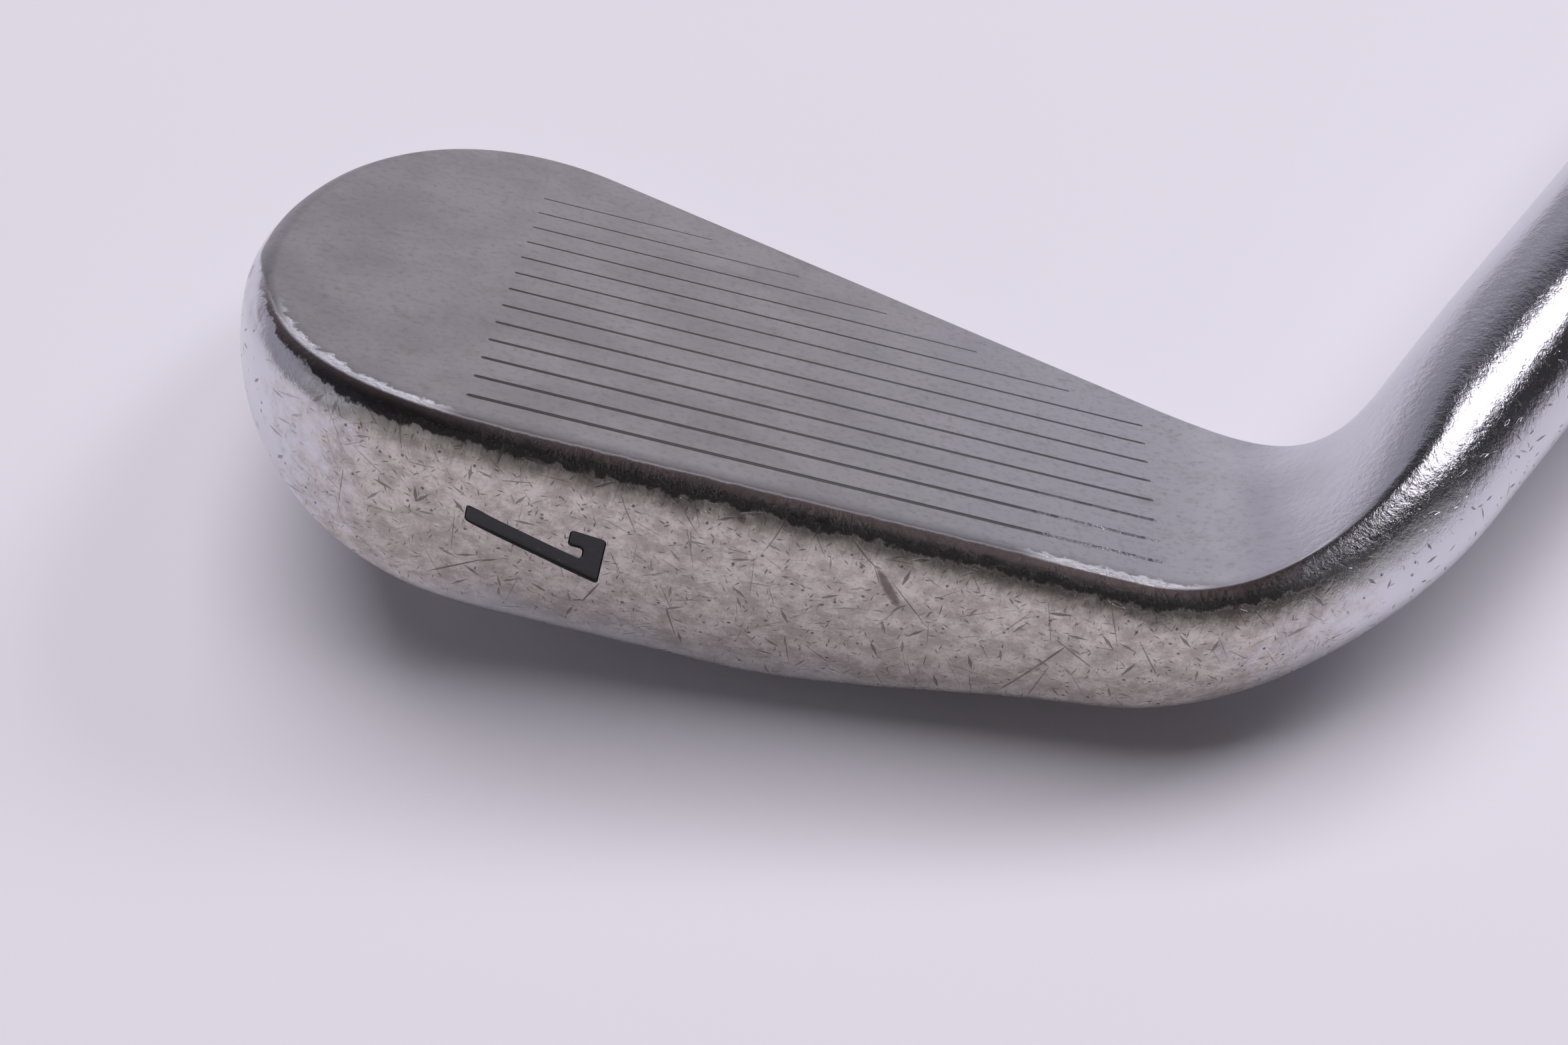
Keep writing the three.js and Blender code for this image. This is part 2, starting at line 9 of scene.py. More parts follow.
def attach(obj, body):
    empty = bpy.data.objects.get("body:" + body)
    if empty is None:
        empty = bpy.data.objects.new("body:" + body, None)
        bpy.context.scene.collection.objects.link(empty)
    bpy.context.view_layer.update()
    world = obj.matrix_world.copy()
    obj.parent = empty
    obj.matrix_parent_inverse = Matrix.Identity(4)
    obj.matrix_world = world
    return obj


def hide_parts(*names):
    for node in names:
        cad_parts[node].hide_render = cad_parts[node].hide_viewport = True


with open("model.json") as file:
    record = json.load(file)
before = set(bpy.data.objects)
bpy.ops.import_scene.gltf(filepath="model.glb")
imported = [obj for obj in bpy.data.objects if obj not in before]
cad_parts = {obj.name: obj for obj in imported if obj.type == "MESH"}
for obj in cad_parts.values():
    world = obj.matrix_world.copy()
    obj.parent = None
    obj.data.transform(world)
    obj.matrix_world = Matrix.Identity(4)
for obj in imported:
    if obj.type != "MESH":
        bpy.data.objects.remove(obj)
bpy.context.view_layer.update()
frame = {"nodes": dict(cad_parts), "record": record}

# ---- how the club lies ----
# The head is drawn in millimetres in face coordinates: x to the heel along the scorelines, y up
# the face from the lowest scoreline, z out of the face. The shaft's own frame has y along the
# shaft from where its axis meets the ground line. Both are laid on the table as the CAD lies.
MM = 0.001
LOFT = math.radians(34)
LIE = math.radians(61.5)
LIE_ROLL = math.radians(13.1)
BUTT_PITCH = math.radians(0.114)
HEEL_X = 35.1
GROUND_UP = -6.5
AXIS_FORWARD = -0.7
FACE_CENTRE = Vector((0, 15.75, 0))

HEELWARD = Vector((1, 0, 0))
TARGETWARD = Vector((0, -math.sin(LOFT), math.cos(LOFT)))
UPRIGHT = Vector((0, math.cos(LOFT), math.sin(LOFT)))
SHAFTWARD = HEELWARD * math.cos(LIE) + UPRIGHT * math.sin(LIE)
TOEWARD = UPRIGHT * math.cos(LIE) - HEELWARD * math.sin(LIE)
SHAFT_FOOT = HEELWARD * HEEL_X + UPRIGHT * GROUND_UP + TARGETWARD * AXIS_FORWARD


def columns(x, y, z, origin):
    """The matrix that takes x, y and z to these directions and 0 to this origin."""
    matrix = Matrix((x, y, z)).transposed().to_4x4()
    matrix.translation = origin
    return matrix


laid = Matrix((SHAFTWARD, TOEWARD, TARGETWARD))
laid = Matrix.Rotation(BUTT_PITCH, 3, "Y") @ Matrix.Rotation(LIE_ROLL, 3, "X") @ laid
striking_face = next(m for m in frame["record"]["mounts"] if m["name"] == "striking_face")
face_frame = (Matrix.Translation(striking_face["pos_m"]) @ laid.to_4x4()
              @ Matrix.Scale(MM, 4) @ Matrix.Translation(-FACE_CENTRE))
shaft_frame = face_frame @ columns(SHAFTWARD.cross(TARGETWARD), SHAFTWARD, TARGETWARD, SHAFT_FOOT)

# ---- camera ----
# A short telephoto close to the leading edge, looking up the sole and across the face. Its
# place is in face coordinates, so it follows the head.
CAMERA_AT = Vector((-13.3, -188.8, 90.9))
CAMERA_TURN = Euler([math.radians(a) for a in (62.495, -13.524, 3.371)])
CAMERA_LENS = 64.64

camera_data = bpy.data.cameras.new("camera")
camera_data.lens = CAMERA_LENS
camera_data.sensor_width = 36
camera_data.clip_start = 0.01
camera = bpy.data.objects.new("camera", camera_data)
camera.matrix_world = Matrix.LocRotScale(
    face_frame @ CAMERA_AT, laid.to_quaternion() @ CAMERA_TURN.to_quaternion(), (1, 1, 1))
bpy.context.scene.collection.objects.link(camera)
bpy.context.scene.camera = camera
bpy.context.scene.view_settings.view_transform = "Standard"


# ---- floor and studio light ----
# A pale matt tabletop. The soft light hangs almost overhead, a little beyond the head, and a
# small lamp on the heel's side makes the streak on the hosel. Round the table stand pale walls
# under a dark ceiling, which show in the metal.
def operator(operation, swapped=False):
    """A method that adds a Math node, with its two operands swapped if asked."""
    def method(self, other):
        first, second = (other, self) if swapped else (self, other)
        return self.tree.add("ShaderNodeMath", {"operation": operation}, first, second)
    return method


class Value:
    """A node's output. Arithmetic and comparison on it add Math nodes."""

    __add__ = __radd__ = operator("ADD")
    __sub__ = operator("SUBTRACT")
    __rsub__ = operator("SUBTRACT", swapped=True)
    __mul__ = __rmul__ = operator("MULTIPLY")
    __truediv__ = operator("DIVIDE")
    __pow__ = operator("POWER")
    __lt__ = operator("LESS_THAN")
    __gt__ = operator("GREATER_THAN")
    least = operator("MINIMUM")
    most = operator("MAXIMUM")

    def __init__(self, tree, out):
        self.tree = tree
        self.out = out

    def math(self, operation, *others):
        return self.tree.add("ShaderNodeMath", {"operation": operation}, self, *others)

    def size(self):
        return self.math("ABSOLUTE")

    def rise(self, low, high, start=0.0, end=1.0):
        """Smooth step: start below low, end above high."""
        return self.tree.add("ShaderNodeMapRange", {"interpolation_type": "SMOOTHSTEP"},
                             self, low, high, start, end)

    def fall(self, low, high):
        return self.rise(low, high, 1.0, 0.0)

    def between(self, low, up_by, high, down_by):
        return self.rise(low, up_by) * self.fall(high, down_by)

    def axes(self):
        """The x, y and z of a vector."""
        parts = self.tree.add("ShaderNodeSeparateXYZ", {}, self)
        return [Value(self.tree, parts.out.node.outputs[i]) for i in range(3)]


class Tree:
    """A node tree with the few ways in which this file adds nodes."""

    def __init__(self, node_tree):
        self.nodes = node_tree.nodes
        self.links = node_tree.links

    def feed(self, socket, value):
        if isinstance(value, Value):
            self.links.new(value.out, socket)
        elif hasattr(value, "__len__") and not isinstance(value, str):
            wanted = len(socket.default_value)
            socket.default_value = tuple(value)[:wanted] + (1.0,) * (wanted - len(value))
        else:
            socket.default_value = value

    def add(self, kind, settings, *values, out=0, **named):
        """A node: its settings first, then its sockets in order or by name (_ for a space)."""
        node = self.nodes.new(kind)
        for name, value in settings.items():
            setattr(node, name, value)
        for socket, value in zip(node.inputs, values):
            if value is not None:
                self.feed(socket, value)
        for name, value in named.items():
            self.feed(node.inputs[name.replace("_", " ")], value)
        return Value(self, node.outputs[out]) if node.outputs else node

    def mix(self, factor, a, b):
        """Colour a where factor is 0, b where it is 1."""
        return self.add("ShaderNodeMix", {"data_type": "RGBA"}, factor,
                        None, None, None, None, None, a, b, out=2)

    def layers(self, colour, *layers):
        """A colour under layers of (share, colour)."""
        for share, over in layers:
            colour = self.mix(share, colour, over)
        return colour

    def vector(self, operation, *values, out=0):
        return self.add("ShaderNodeVectorMath", {"operation": operation}, *values, out=out)

    def combine(self, x, y, z):
        return self.add("ShaderNodeCombineXYZ", {}, x, y, z)

    def stored(self, geometry, name, value):
        """A geometry whose points keep a number under this name."""
        return self.add("GeometryNodeStoreNamedAttribute", {"data_type": "FLOAT"},
                        Geometry=geometry, Name=name, Value=value)

    def kept(self, name):
        return self.add("GeometryNodeInputNamedAttribute", {"data_type": "FLOAT"}, Name=name)

    def noise(self, at, scale, detail=3.0, roughness=0.55):
        return self.add("ShaderNodeTexNoise", {}, Vector=at, Scale=scale, Detail=detail,
                        Roughness=roughness)

    def bump(self, height, depth, normal=None):
        """A normal for a height of 0 to 1 that stands for this depth in millimetres."""
        below = {"Normal": normal} if normal else {}
        return self.add("ShaderNodeBump", {}, Strength=1.0, Distance=depth * MM, Height=height,
                        **below)


class Finish(Tree):
    """A material: one Principled shader in a tree that reads coordinates in millimetres."""

    def __init__(self, name, frame_matrix=None, **constants):
        self.material = bpy.data.materials.new(name)
        self.material.use_nodes = True
        super().__init__(self.material.node_tree)
        self.shader = self.nodes["Principled BSDF"]
        for label, value in constants.items():
            self.feed(self.shader.inputs[label.replace("_", " ")], value)
        if frame_matrix:
            place, turn, scale = frame_matrix.decompose()
            coordinates = self.add("ShaderNodeTexCoord", {}, out="Object")
            self.at = self.add("ShaderNodeMapping", {"vector_type": "TEXTURE"}, coordinates,
                               tuple(place), tuple(turn.to_euler()), tuple(scale))

    def map(self, name):
        """The piece's own map of that name, in millimetres."""
        return self.add("ShaderNodeUVMap", {"uv_map": name})

    def done(self, colour, roughness, normal):
        """Feeds the shader what varies, and gives the material."""
        for label, value in (("Base Color", colour), ("Roughness", roughness), ("Normal", normal)):
            self.feed(self.shader.inputs[label], value)
        return self.material

    def pits(self, at, scale, radius, share, seed=0.0):
        """1 in small round pits scattered over a share of the cells of a random lattice."""
        moved = self.vector("ADD", at, (seed, seed, seed))
        cells = self.add("ShaderNodeTexVoronoi", {}, Vector=moved, Scale=scale)
        tint = Value(self, cells.out.node.outputs["Color"]).axes()
        return (1 - cells.rise(radius * 0.4, radius)) * (tint[0] < share)

    def scratches(self, at, scale, width, length, share, lean=0.0, spread=math.pi, seed=0.0):
        """1 on straight hairlines, one in each cell of a lattice over the x and y of at."""
        moved = self.vector("ADD", at, (seed, seed * 0.7, 0))
        cells = self.add("ShaderNodeTexVoronoi", {"voronoi_dimensions": "2D"}, Vector=moved,
                         Scale=scale)
        tint = Value(self, cells.out.node.outputs["Color"]).axes()
        middle = Value(self, cells.out.node.outputs["Position"])
        local = self.vector("SUBTRACT", moved, middle)
        angle = (tint[0] - 0.5) * spread + lean
        turned = self.add("ShaderNodeVectorRotate", {"rotation_type": "Z_AXIS"}, Vector=local,
                          Angle=angle).axes()
        size = 0.35 + tint[2] * 0.65
        reach = (turned[0].size() / length + turned[1].size() / width) / size
        return (1 - reach.rise(0.55, 1)) * (tint[1] < share) * (0.3 + 0.7 * tint[2])

    def mark(self, start, end, width):
        """1 on one straight mark between two points."""
        span = Vector(end) - Vector(start)
        offset = self.vector("SUBTRACT", self.at, tuple(start))
        along = self.vector("DOT_PRODUCT", offset, tuple(span), out="Value") / span.length_squared
        along = along.most(0).least(1)
        nearest = self.add("ShaderNodeVectorMath", {"operation": "SCALE"}, tuple(span), Scale=along)
        gap = self.vector("DISTANCE", offset, nearest, out="Value")
        taper = 0.15 + 3.4 * along * (1 - along)
        return 1 - (gap / (width * taper)).rise(0.35, 1)


FLOOR_SIZE = 6.0
FLOOR_COLOUR = (0.83, 0.81, 0.855)
LAMP_TINT = (1.0, 0.965, 1.04)
WALL_LIGHT_CUT = 0.7        # the share of the walls' light that is kept off matt surfaces

floor_mesh = bpy.data.meshes.new("floor")
half = FLOOR_SIZE / 2
floor_mesh.from_pydata([(-half, -half, 0), (half, -half, 0), (half, half, 0), (-half, half, 0)],
                       [], [(0, 1, 2, 3)])
floor = bpy.data.objects.new("floor", floor_mesh)
bpy.context.scene.collection.objects.link(floor)
floor_paint = Finish("floor_matt", Base_Color=FLOOR_COLOUR, Roughness=0.62,
                     Specular_IOR_Level=0.25)
floor_mesh.materials.append(floor_paint.material)


def bearing(azimuth, elevation):
    """The direction at this azimuth from +X towards +Y and this elevation, in degrees."""
    a, e = math.radians(azimuth), math.radians(elevation)
    return Vector((math.cos(a) * math.cos(e), math.sin(a) * math.cos(e), math.sin(e)))


def panel_light(name, azimuth, elevation, distance, side, watts, in_reflections):
    """A square lamp that faces the middle of the head."""
    data = bpy.data.lights.new(name, "AREA")
    data.size = side
    data.energy = watts
    data.color = LAMP_TINT
    lamp = bpy.data.objects.new(name, data)
    away = bearing(azimuth, elevation)
    lamp.matrix_world = (Matrix.Translation(face_frame @ FACE_CENTRE + away * distance)
                         @ away.to_track_quat("Z", "Y").to_matrix().to_4x4())
    lamp.visible_glossy = in_reflections
    bpy.context.scene.collection.objects.link(lamp)


panel_light("soft_light", azimuth=50, elevation=77, distance=3.0, side=2.2, watts=72.0,
            in_reflections=False)
panel_light("small_lamp", azimuth=-25, elevation=46, distance=1.2, side=0.36, watts=3.0,
            in_reflections=True)

world = bpy.data.worlds.new("studio")
world.use_nodes = True
bpy.context.scene.world = world
room = Tree(world.node_tree)
outward = room.add("ShaderNodeTexCoord", {}, out="Generated")
to_x, to_y, to_z = outward.axes()
azimuth = to_y.math("ARCTAN2", to_x) * (180 / math.pi)
elevation = to_z.math("ARCSINE") * (180 / math.pi)


def patch(azimuth, elevation, inner, outer):
    """1 within inner degrees of a direction, 0 beyond outer degrees."""
    nearness = room.vector("DOT_PRODUCT", outward, tuple(bearing(azimuth, elevation)), out="Value")
    return nearness.rise(math.cos(math.radians(outer)), math.cos(math.radians(inner)))


horizon = elevation.fall(-6, 2)
pale_wall = azimuth.between(2, 10, 112, 140) * elevation.fall(38, 44)
near_wall = (azimuth + 120).size().fall(52, 60) * elevation.fall(22, 34)
room_colour = room.layers(
    (0.034, 0.033, 0.035),
    (horizon, (0.36, 0.355, 0.385)),
    (patch(165, 40, 25, 50), (0.48, 0.47, 0.51)),
    (near_wall, (0.42, 0.40, 0.42)),
    (pale_wall, (0.33, 0.32, 0.375)),
    (patch(27, 4, 6, 14), (1.2, 1.17, 1.24)))
# the walls show in the metal but throw little light on the table
lighting = room.add("ShaderNodeLightPath", {}, out="Is Diffuse Ray")
room.feed(room.nodes["Background"].inputs["Color"], room_colour)
room.feed(room.nodes["Background"].inputs["Strength"], 1 - lighting * WALL_LIGHT_CUT)

# ---- clubhead ----
# One forging of mild steel with its face, sole, muscle back and hosel, milled, ground, stamped
# and plated with chrome. The face is blasted to a satin; play has worn and nicked the rest.
PIVOT = np.array((-21.0, 21.0))     # centre of the fan of toe sections
TOPLINE_AT_ZERO = 41.6
TOPLINE_SLOPE = -0.44
LEADING_EDGE_Y = -7.2
TOE_X, TOE_Y = -46.7, 21.0
BLADE_END_X = 25.0
MID_AT_END = 11.0
TOE_ARC_PULLS = (15.3, 22.0, 19.0, 17.5)
SOLE_NARROWING = 7.6
NARROWS_FROM, NARROWS_TO = -4.0, 31.0

HOSEL_RADIUS = 6.85
HOSEL_START = 24.0          # distance along the axis from which the hosel runs straight
CROTCH_START = 40.0         # the same on the crotch's side
HOSEL_TOP = 74.0
HOSEL_LIP = 0.3
BORE_RADIUS = 5.0
BORE_DEPTH = 31.0
BORE_BEVEL = 0.8
BORE_FLOOR_HUB = 1.0        # radius of the flat in the middle of the bore's floor
HEEL_PULL = 0.36            # how far the heel's curves hold their line, as a share of their span
CROTCH_LEAVE = 0.66
CROTCH_ARRIVE = 0.78

# where the points of a section's flat stand, as shares of the flat
FLAT_SHARES = (0, 0.25, 0.5, 0.7, 0.84, 0.92, 0.96, 0.985, 0.998)
ROLL_STEPS, WALL_STEPS, REAR_STEPS, BACK_STEPS = 24, 34, 8, 12
TOE_STEPS, BLADE_STEPS, HEEL_STEPS, HOSEL_STEPS = 110, 200, 80, 50

# angles round the hosel, in degrees from its front to the toe side, that the mid line of the
# face and the corners of the blade's section run into
UPPER_STOPS = (32, 56, 70, 98, 112, 180)
LOWER_STOPS = (32, 8, -50, -118, -140, -180)

# The angle between the face and the wall behind it, the angle that the wall turns through, and
# the heading at which the back leaves the rear edge are in degrees.
TOPLINE = dict(front_radius=0.9, wall_angle=92, camber=4, wall_length=3.6, rear_radius=1.1,
               back_angle=2, back_pull=0.33, mid_thickness=4.7)
TOE_SIDE = dict(front_radius=2.2, wall_angle=84, camber=22, wall_length=4.6, rear_radius=2.2,
                back_angle=8, back_pull=0.33, mid_thickness=4.7)
SOLE = dict(front_radius=2.6, wall_angle=61, camber=13, wall_length=17.5, rear_radius=2.4,
            back_angle=42, back_pull=0.48, mid_thickness=4.7)


def lerp(a, b, k):
    return a + (b - a) * k


def ease(x, low, high):
    k = min(1.0, max(0.0, (x - low) / (high - low)))
    return k * k * (3 - 2 * k)


def blend(a, b, k):
    return {key: lerp(a[key], b[key], k) for key in a}


def bezier(p0, p1, p2, p3, k):
    p0, p1, p2, p3 = (np.asarray(p, float) for p in (p0, p1, p2, p3))
    j = 1 - k
    return p0 * j ** 3 + p1 * 3 * k * j * j + p2 * 3 * k * k * j + p3 * k ** 3


def half_section(reach, recipe):
    """From the middle of the face round the rim to the middle of the back: rows of (distance
    from the mid line, height above the face, distance past the end of the flat)."""
    camber = math.radians(recipe["camber"])
    start_angle = math.radians(recipe["wall_angle"]) + camber / 2
    flat_end = reach - recipe["front_radius"] / math.tan(start_angle / 2)
    rows = [(flat_end * k, 0.0, flat_end * (k - 1)) for k in FLAT_SHARES]
    rows.append((flat_end, 0.0, 0.0))
    front_turn = math.pi - start_angle
    rear_turn = start_angle - camber + math.radians(recipe["back_angle"])
    heading = 0.0
    bends = ((front_turn, front_turn * recipe["front_radius"], ROLL_STEPS),
             (camber, recipe["wall_length"], WALL_STEPS),
             (rear_turn, rear_turn * recipe["rear_radius"], REAR_STEPS))
    for turn, length, steps in bends:
        half_turn = turn / steps / 2
        chord = length / steps * math.sin(half_turn) / half_turn
        for _ in range(steps):
            across, up, past = rows[-1]
            heading += half_turn
            rows.append((across + chord * math.cos(heading), up - chord * math.sin(heading),
                         past + length / steps))
            heading += half_turn
    at = np.array(rows[-1][:2])
    end = np.array((0.0, -recipe["mid_thickness"]))
    pull = np.linalg.norm(at - end) * recipe["back_pull"]
    leave = at + pull * np.array((math.cos(heading), -math.sin(heading)))
    for i in range(1, BACK_STEPS + 1):
        across, up = bezier(at, leave, end + (pull, 0), end, i / BACK_STEPS)
        rows.append((across, up, rows[-1][2] + pull / BACK_STEPS))
    return np.array(rows)


def topline_y(x):
    return TOPLINE_AT_ZERO + TOPLINE_SLOPE * x


def sole_recipe(x):
    length = SOLE["wall_length"] - SOLE_NARROWING * ease(x, NARROWS_FROM, NARROWS_TO)
    return dict(SOLE, wall_length=length)


def toe_rim(k):
    """The outline of the toe from the topline (0) round its far side to the leading edge (1)."""
    top = np.array((PIVOT[0], topline_y(PIVOT[0])))
    slope = np.array((-1, -TOPLINE_SLOPE)) / math.hypot(1, TOPLINE_SLOPE)
    side = np.array((TOE_X, TOE_Y))
    bottom = np.array((PIVOT[0], LEADING_EDGE_Y))
    a, b, c, d = TOE_ARC_PULLS
    if k < 0.5:
        return bezier(top, top + slope * a, side + (0, b), side, k * 2)
    return bezier(side, side - (0, c), bottom - (d, 0), bottom, k * 2 - 1)


def toe_half(k):
    if k < 0.5:
        recipe = blend(TOPLINE, TOE_SIDE, ease(k, 0, 0.5))
    else:
        recipe = blend(TOE_SIDE, sole_recipe(PIVOT[0]), ease(k, 0.5, 1))
    out = toe_rim(k) - PIVOT
    reach = np.linalg.norm(out)
    rows = half_section(reach, recipe)
    flat = PIVOT + np.outer(rows[:, 0], out / reach)
    return np.column_stack((flat, rows[:, 1:]))


def blade_loop(x):
    """One closed section of the blade: rows of (x, y, z, distance past the end of the flat)."""
    mid = lerp(PIVOT[1], MID_AT_END, (x - PIVOT[0]) / (BLADE_END_X - PIVOT[0]))
    upper = half_section(topline_y(x) - mid, TOPLINE)
    lower = half_section(mid - LEADING_EDGE_Y, sole_recipe(x))
    upper = np.column_stack((np.full(len(upper), x), mid + upper[:, 0], upper[:, 1:]))
    lower = np.column_stack((np.full(len(lower), x), mid - lower[:, 0], lower[:, 1:]))
    return np.vstack((upper, lower[-2:0:-1]))


def spread_angles(stops):
    shares = list(FLAT_SHARES[1:]) + [1]
    angles = [stops[0]] + [lerp(stops[0], stops[1], k) for k in shares]
    for r, steps in enumerate((ROLL_STEPS, WALL_STEPS, REAR_STEPS, BACK_STEPS), start=1):
        angles += [lerp(stops[r], stops[r + 1], i / steps) for i in range(1, steps + 1)]
    return np.radians(angles)


loop_angles = np.concatenate((spread_angles(UPPER_STOPS), spread_angles(LOWER_STOPS)[-2:0:-1]))
in_crotch = np.maximum(0, np.sin(loop_angles))
straight_from = lerp(HOSEL_START, CROTCH_START, in_crotch)


def hosel_loop(along, radius):
    """Points round the hosel, each at its own distance along the axis or all at one."""
    axis = np.outer(along * np.ones(len(loop_angles)), SHAFTWARD) + np.array(SHAFT_FOOT)
    return (axis + radius * np.outer(np.cos(loop_angles), TARGETWARD)
            + radius * np.outer(np.sin(loop_angles), TOEWARD))


def heel_loops():
    """Each point of the blade's last section runs on its own smooth curve into the hosel. The
    curves on the toe side hold their line longest, which keeps the crotch tight."""
    start = blade_loop(BLADE_END_X)
    leave = start[:, :3] - blade_loop(BLADE_END_X - 0.5)[:, :3]
    leave /= np.linalg.norm(leave, axis=1)[:, None]
    end = hosel_loop(straight_from, HOSEL_RADIUS)
    span = np.linalg.norm(end - start[:, :3], axis=1)[:, None]
    inner = in_crotch[:, None]
    first = start[:, :3] + leave * span * lerp(HEEL_PULL, CROTCH_LEAVE, inner)
    second = end - np.array(SHAFTWARD) * span * lerp(HEEL_PULL, CROTCH_ARRIVE, inner)
    for k in range(1, HEEL_STEPS + 1):
        points = bezier(start[:, :3], first, second, end, k / HEEL_STEPS)
        yield np.column_stack((points, start[:, 3]))


def new_object(name, mesh):
    made = bpy.data.objects.new(name, mesh)
    bpy.context.scene.collection.objects.link(made)
    return made


def head_mesh():
    """The forging before it is milled, as a mesh with a map: how far each point lies past the
    end of the face's flat, and how far along the blade."""
    rows = []
    faces = []

    def add(points):
        rows.extend(points)
        return list(range(len(rows) - len(points), len(rows)))

    loops = [blade_loop(lerp(PIVOT[0], BLADE_END_X, i / BLADE_STEPS))
             for i in range(BLADE_STEPS + 1)]
    loops += heel_loops()
    past = loops[-1][:, 3]
    for k in np.linspace(0, 1, HOSEL_STEPS)[1:]:
        loop = hosel_loop(lerp(straight_from, HOSEL_TOP - HOSEL_LIP, k), HOSEL_RADIUS)
        loops.append(np.column_stack((loop, past)))
    bore_floor = HOSEL_TOP - BORE_DEPTH
    bore = ((HOSEL_TOP, BORE_RADIUS + BORE_BEVEL), (HOSEL_TOP - BORE_BEVEL, BORE_RADIUS),
            (bore_floor, BORE_RADIUS), (bore_floor, BORE_FLOOR_HUB))
    loops += [np.column_stack((hosel_loop(along, radius), past)) for along, radius in bore]
    rings = [add(loop) for loop in loops]
    count = len(rings[0])
    for before, after in zip(rings, rings[1:]):
        for i in range(count):
            j = (i + 1) % count
            faces.append((before[i], after[i], after[j], before[j]))
    faces.append(tuple(reversed(rings[-1])))

    middle = count // 2
    upper = rings[0][:middle + 1]
    lower = [rings[0][0]] + rings[0][:middle - 1:-1]
    previous = upper
    for k in range(1, TOE_STEPS + 1):
        if k == TOE_STEPS:
            current = lower
        else:
            current = [upper[0]] + add(toe_half(k / TOE_STEPS)[1:-1]) + [upper[-1]]
        for i in range(middle):
            corners = (previous[i], previous[i + 1], current[i + 1], current[i])
            faces.append(tuple(dict.fromkeys(corners)))
        previous = current

    rows = np.array(rows)
    mesh = bpy.data.meshes.new("clubhead")
    mesh.from_pydata(rows[:, :3].tolist(), [], faces)
    edge_map = mesh.uv_layers.new(name="past_face_edge")
    corners = np.empty(len(mesh.loops), int)
    mesh.loops.foreach_get("vertex_index", corners)
    edge_map.uv.foreach_set("vector", rows[corners][:, [3, 0]].ravel())
    return mesh, rows[:, 3]


# dents that have their own places, as (start, end, width, depth): the gouge in the sole, then
# three nicks in the leading edge
PLACED_DENTS = (((5.5, -5.9, -3.0), (8.4, -4.1, -7.2), 0.45, 0.16),
                ((-23.9, -6.0, -0.6), (-23.5, -6.4, -1.2), 0.55, 0.30),
                ((-21.8, -6.2, -0.4), (-21.0, -6.5, -0.9), 0.6, 0.35),
                ((-0.6, -6.6, -0.6), (0.3, -6.7, -1.0), 0.5, 0.30))
DENT_SEED = 7
EDGE_NICKS, NICK_WIDTHS, NICK_DEPTHS = 320, (0.18, 0.5), (0.03, 0.2)
SOLE_DENTS, DENT_WIDTHS, DENT_DEPTHS = 60, (0.25, 0.45), (0.02, 0.06)
SOLE_DENT_Y, SOLE_DENT_SLOPE = -6.3, 0.55   # where the sole's surface lies, for its dents
WAVE_HEIGHT = 0.03
WAVES_FROM, WAVES_FADE_IN = 0.3, 1.5        # distances past the end of the flat
HOSEL_FADE_IN = 8


def wear_head(mesh, past):
    """Presses the dents of play into the forging: nicks along the leading edge, stones' gouges
    in the sole, and the slight waves that grinding leaves."""
    points, normals = np.empty((2, len(mesh.vertices) * 3))
    mesh.vertices.foreach_get("co", points)
    mesh.vertex_normals.foreach_get("vector", normals)
    points, normals = points.reshape(-1, 3), normals.reshape(-1, 3)
    sunk = np.zeros(len(points))

    def press(start, end, width, depth):
        start, end = np.array(start, float), np.array(end, float)
        span = end - start
        along = np.clip((points - start) @ span / (span @ span), 0, 1)
        gap = np.linalg.norm(points - start - np.outer(along, span), axis=1)
        np.maximum(sunk, depth * np.exp(-(gap / width) ** 2), out=sunk)

    for dent in PLACED_DENTS:
        press(*dent)
    spots = np.random.default_rng(DENT_SEED)
    for _ in range(EDGE_NICKS):
        x = spots.uniform(-44, 33)
        y = LEADING_EDGE_Y + spots.uniform(0.1, 1.0)
        if x < PIVOT[0]:
            k = 1 - 0.5 * (PIVOT[0] - x) / (PIVOT[0] - TOE_X)
            x, y = toe_rim(k) + (0, spots.uniform(0.1, 0.8))
        lean = spots.normal(0, 0.5, 3)
        at = np.array((x, y, spots.uniform(-1.6, -0.1)))
        press(at, at + lean, spots.uniform(*NICK_WIDTHS), spots.uniform(*NICK_DEPTHS))
    for _ in range(SOLE_DENTS):
        x, z = spots.uniform(-30, 30), spots.uniform(-16, -2)
        at = np.array((x, SOLE_DENT_Y - SOLE_DENT_SLOPE * (z + 2), z))
        lean = spots.normal(0, 0.7, 3)
        press(at, at + lean, spots.uniform(*DENT_WIDTHS), spots.uniform(*DENT_DEPTHS))
    waves = np.array([noise.noise(Vector(p) * 0.16) + 0.4 * noise.noise(Vector(p) * 0.55)
                      for p in points])
    # the waves only ever go inwards, and leave the face flat
    past_face = np.clip((past - WAVES_FROM) / WAVES_FADE_IN, 0, 1)
    into_hosel = np.clip((points[:, 0] - BLADE_END_X) / HOSEL_FADE_IN, 0, 1)
    sunk += WAVE_HEIGHT * np.maximum(1.0, 1.6 + waves) * np.maximum(past_face, into_hosel)
    points -= normals * sunk[:, None]
    mesh.vertices.foreach_set("co", points.ravel())
    mesh.update()


def rounded(corners, radius, steps=4):
    """A closed outline with each corner rounded off."""
    corners = [np.array(c, float) for c in corners]
    outline = []
    for i, corner in enumerate(corners):
        before, after = corners[i - 1], corners[(i + 1) % len(corners)]
        start = corner + (before - corner) * radius / np.linalg.norm(before - corner)
        end = corner + (after - corner) * radius / np.linalg.norm(after - corner)
        for k in np.linspace(0, 1, steps + 1):
            outline.append(start * (1 - k) ** 2 + corner * 2 * k * (1 - k) + end * k * k)
    return np.array(outline)


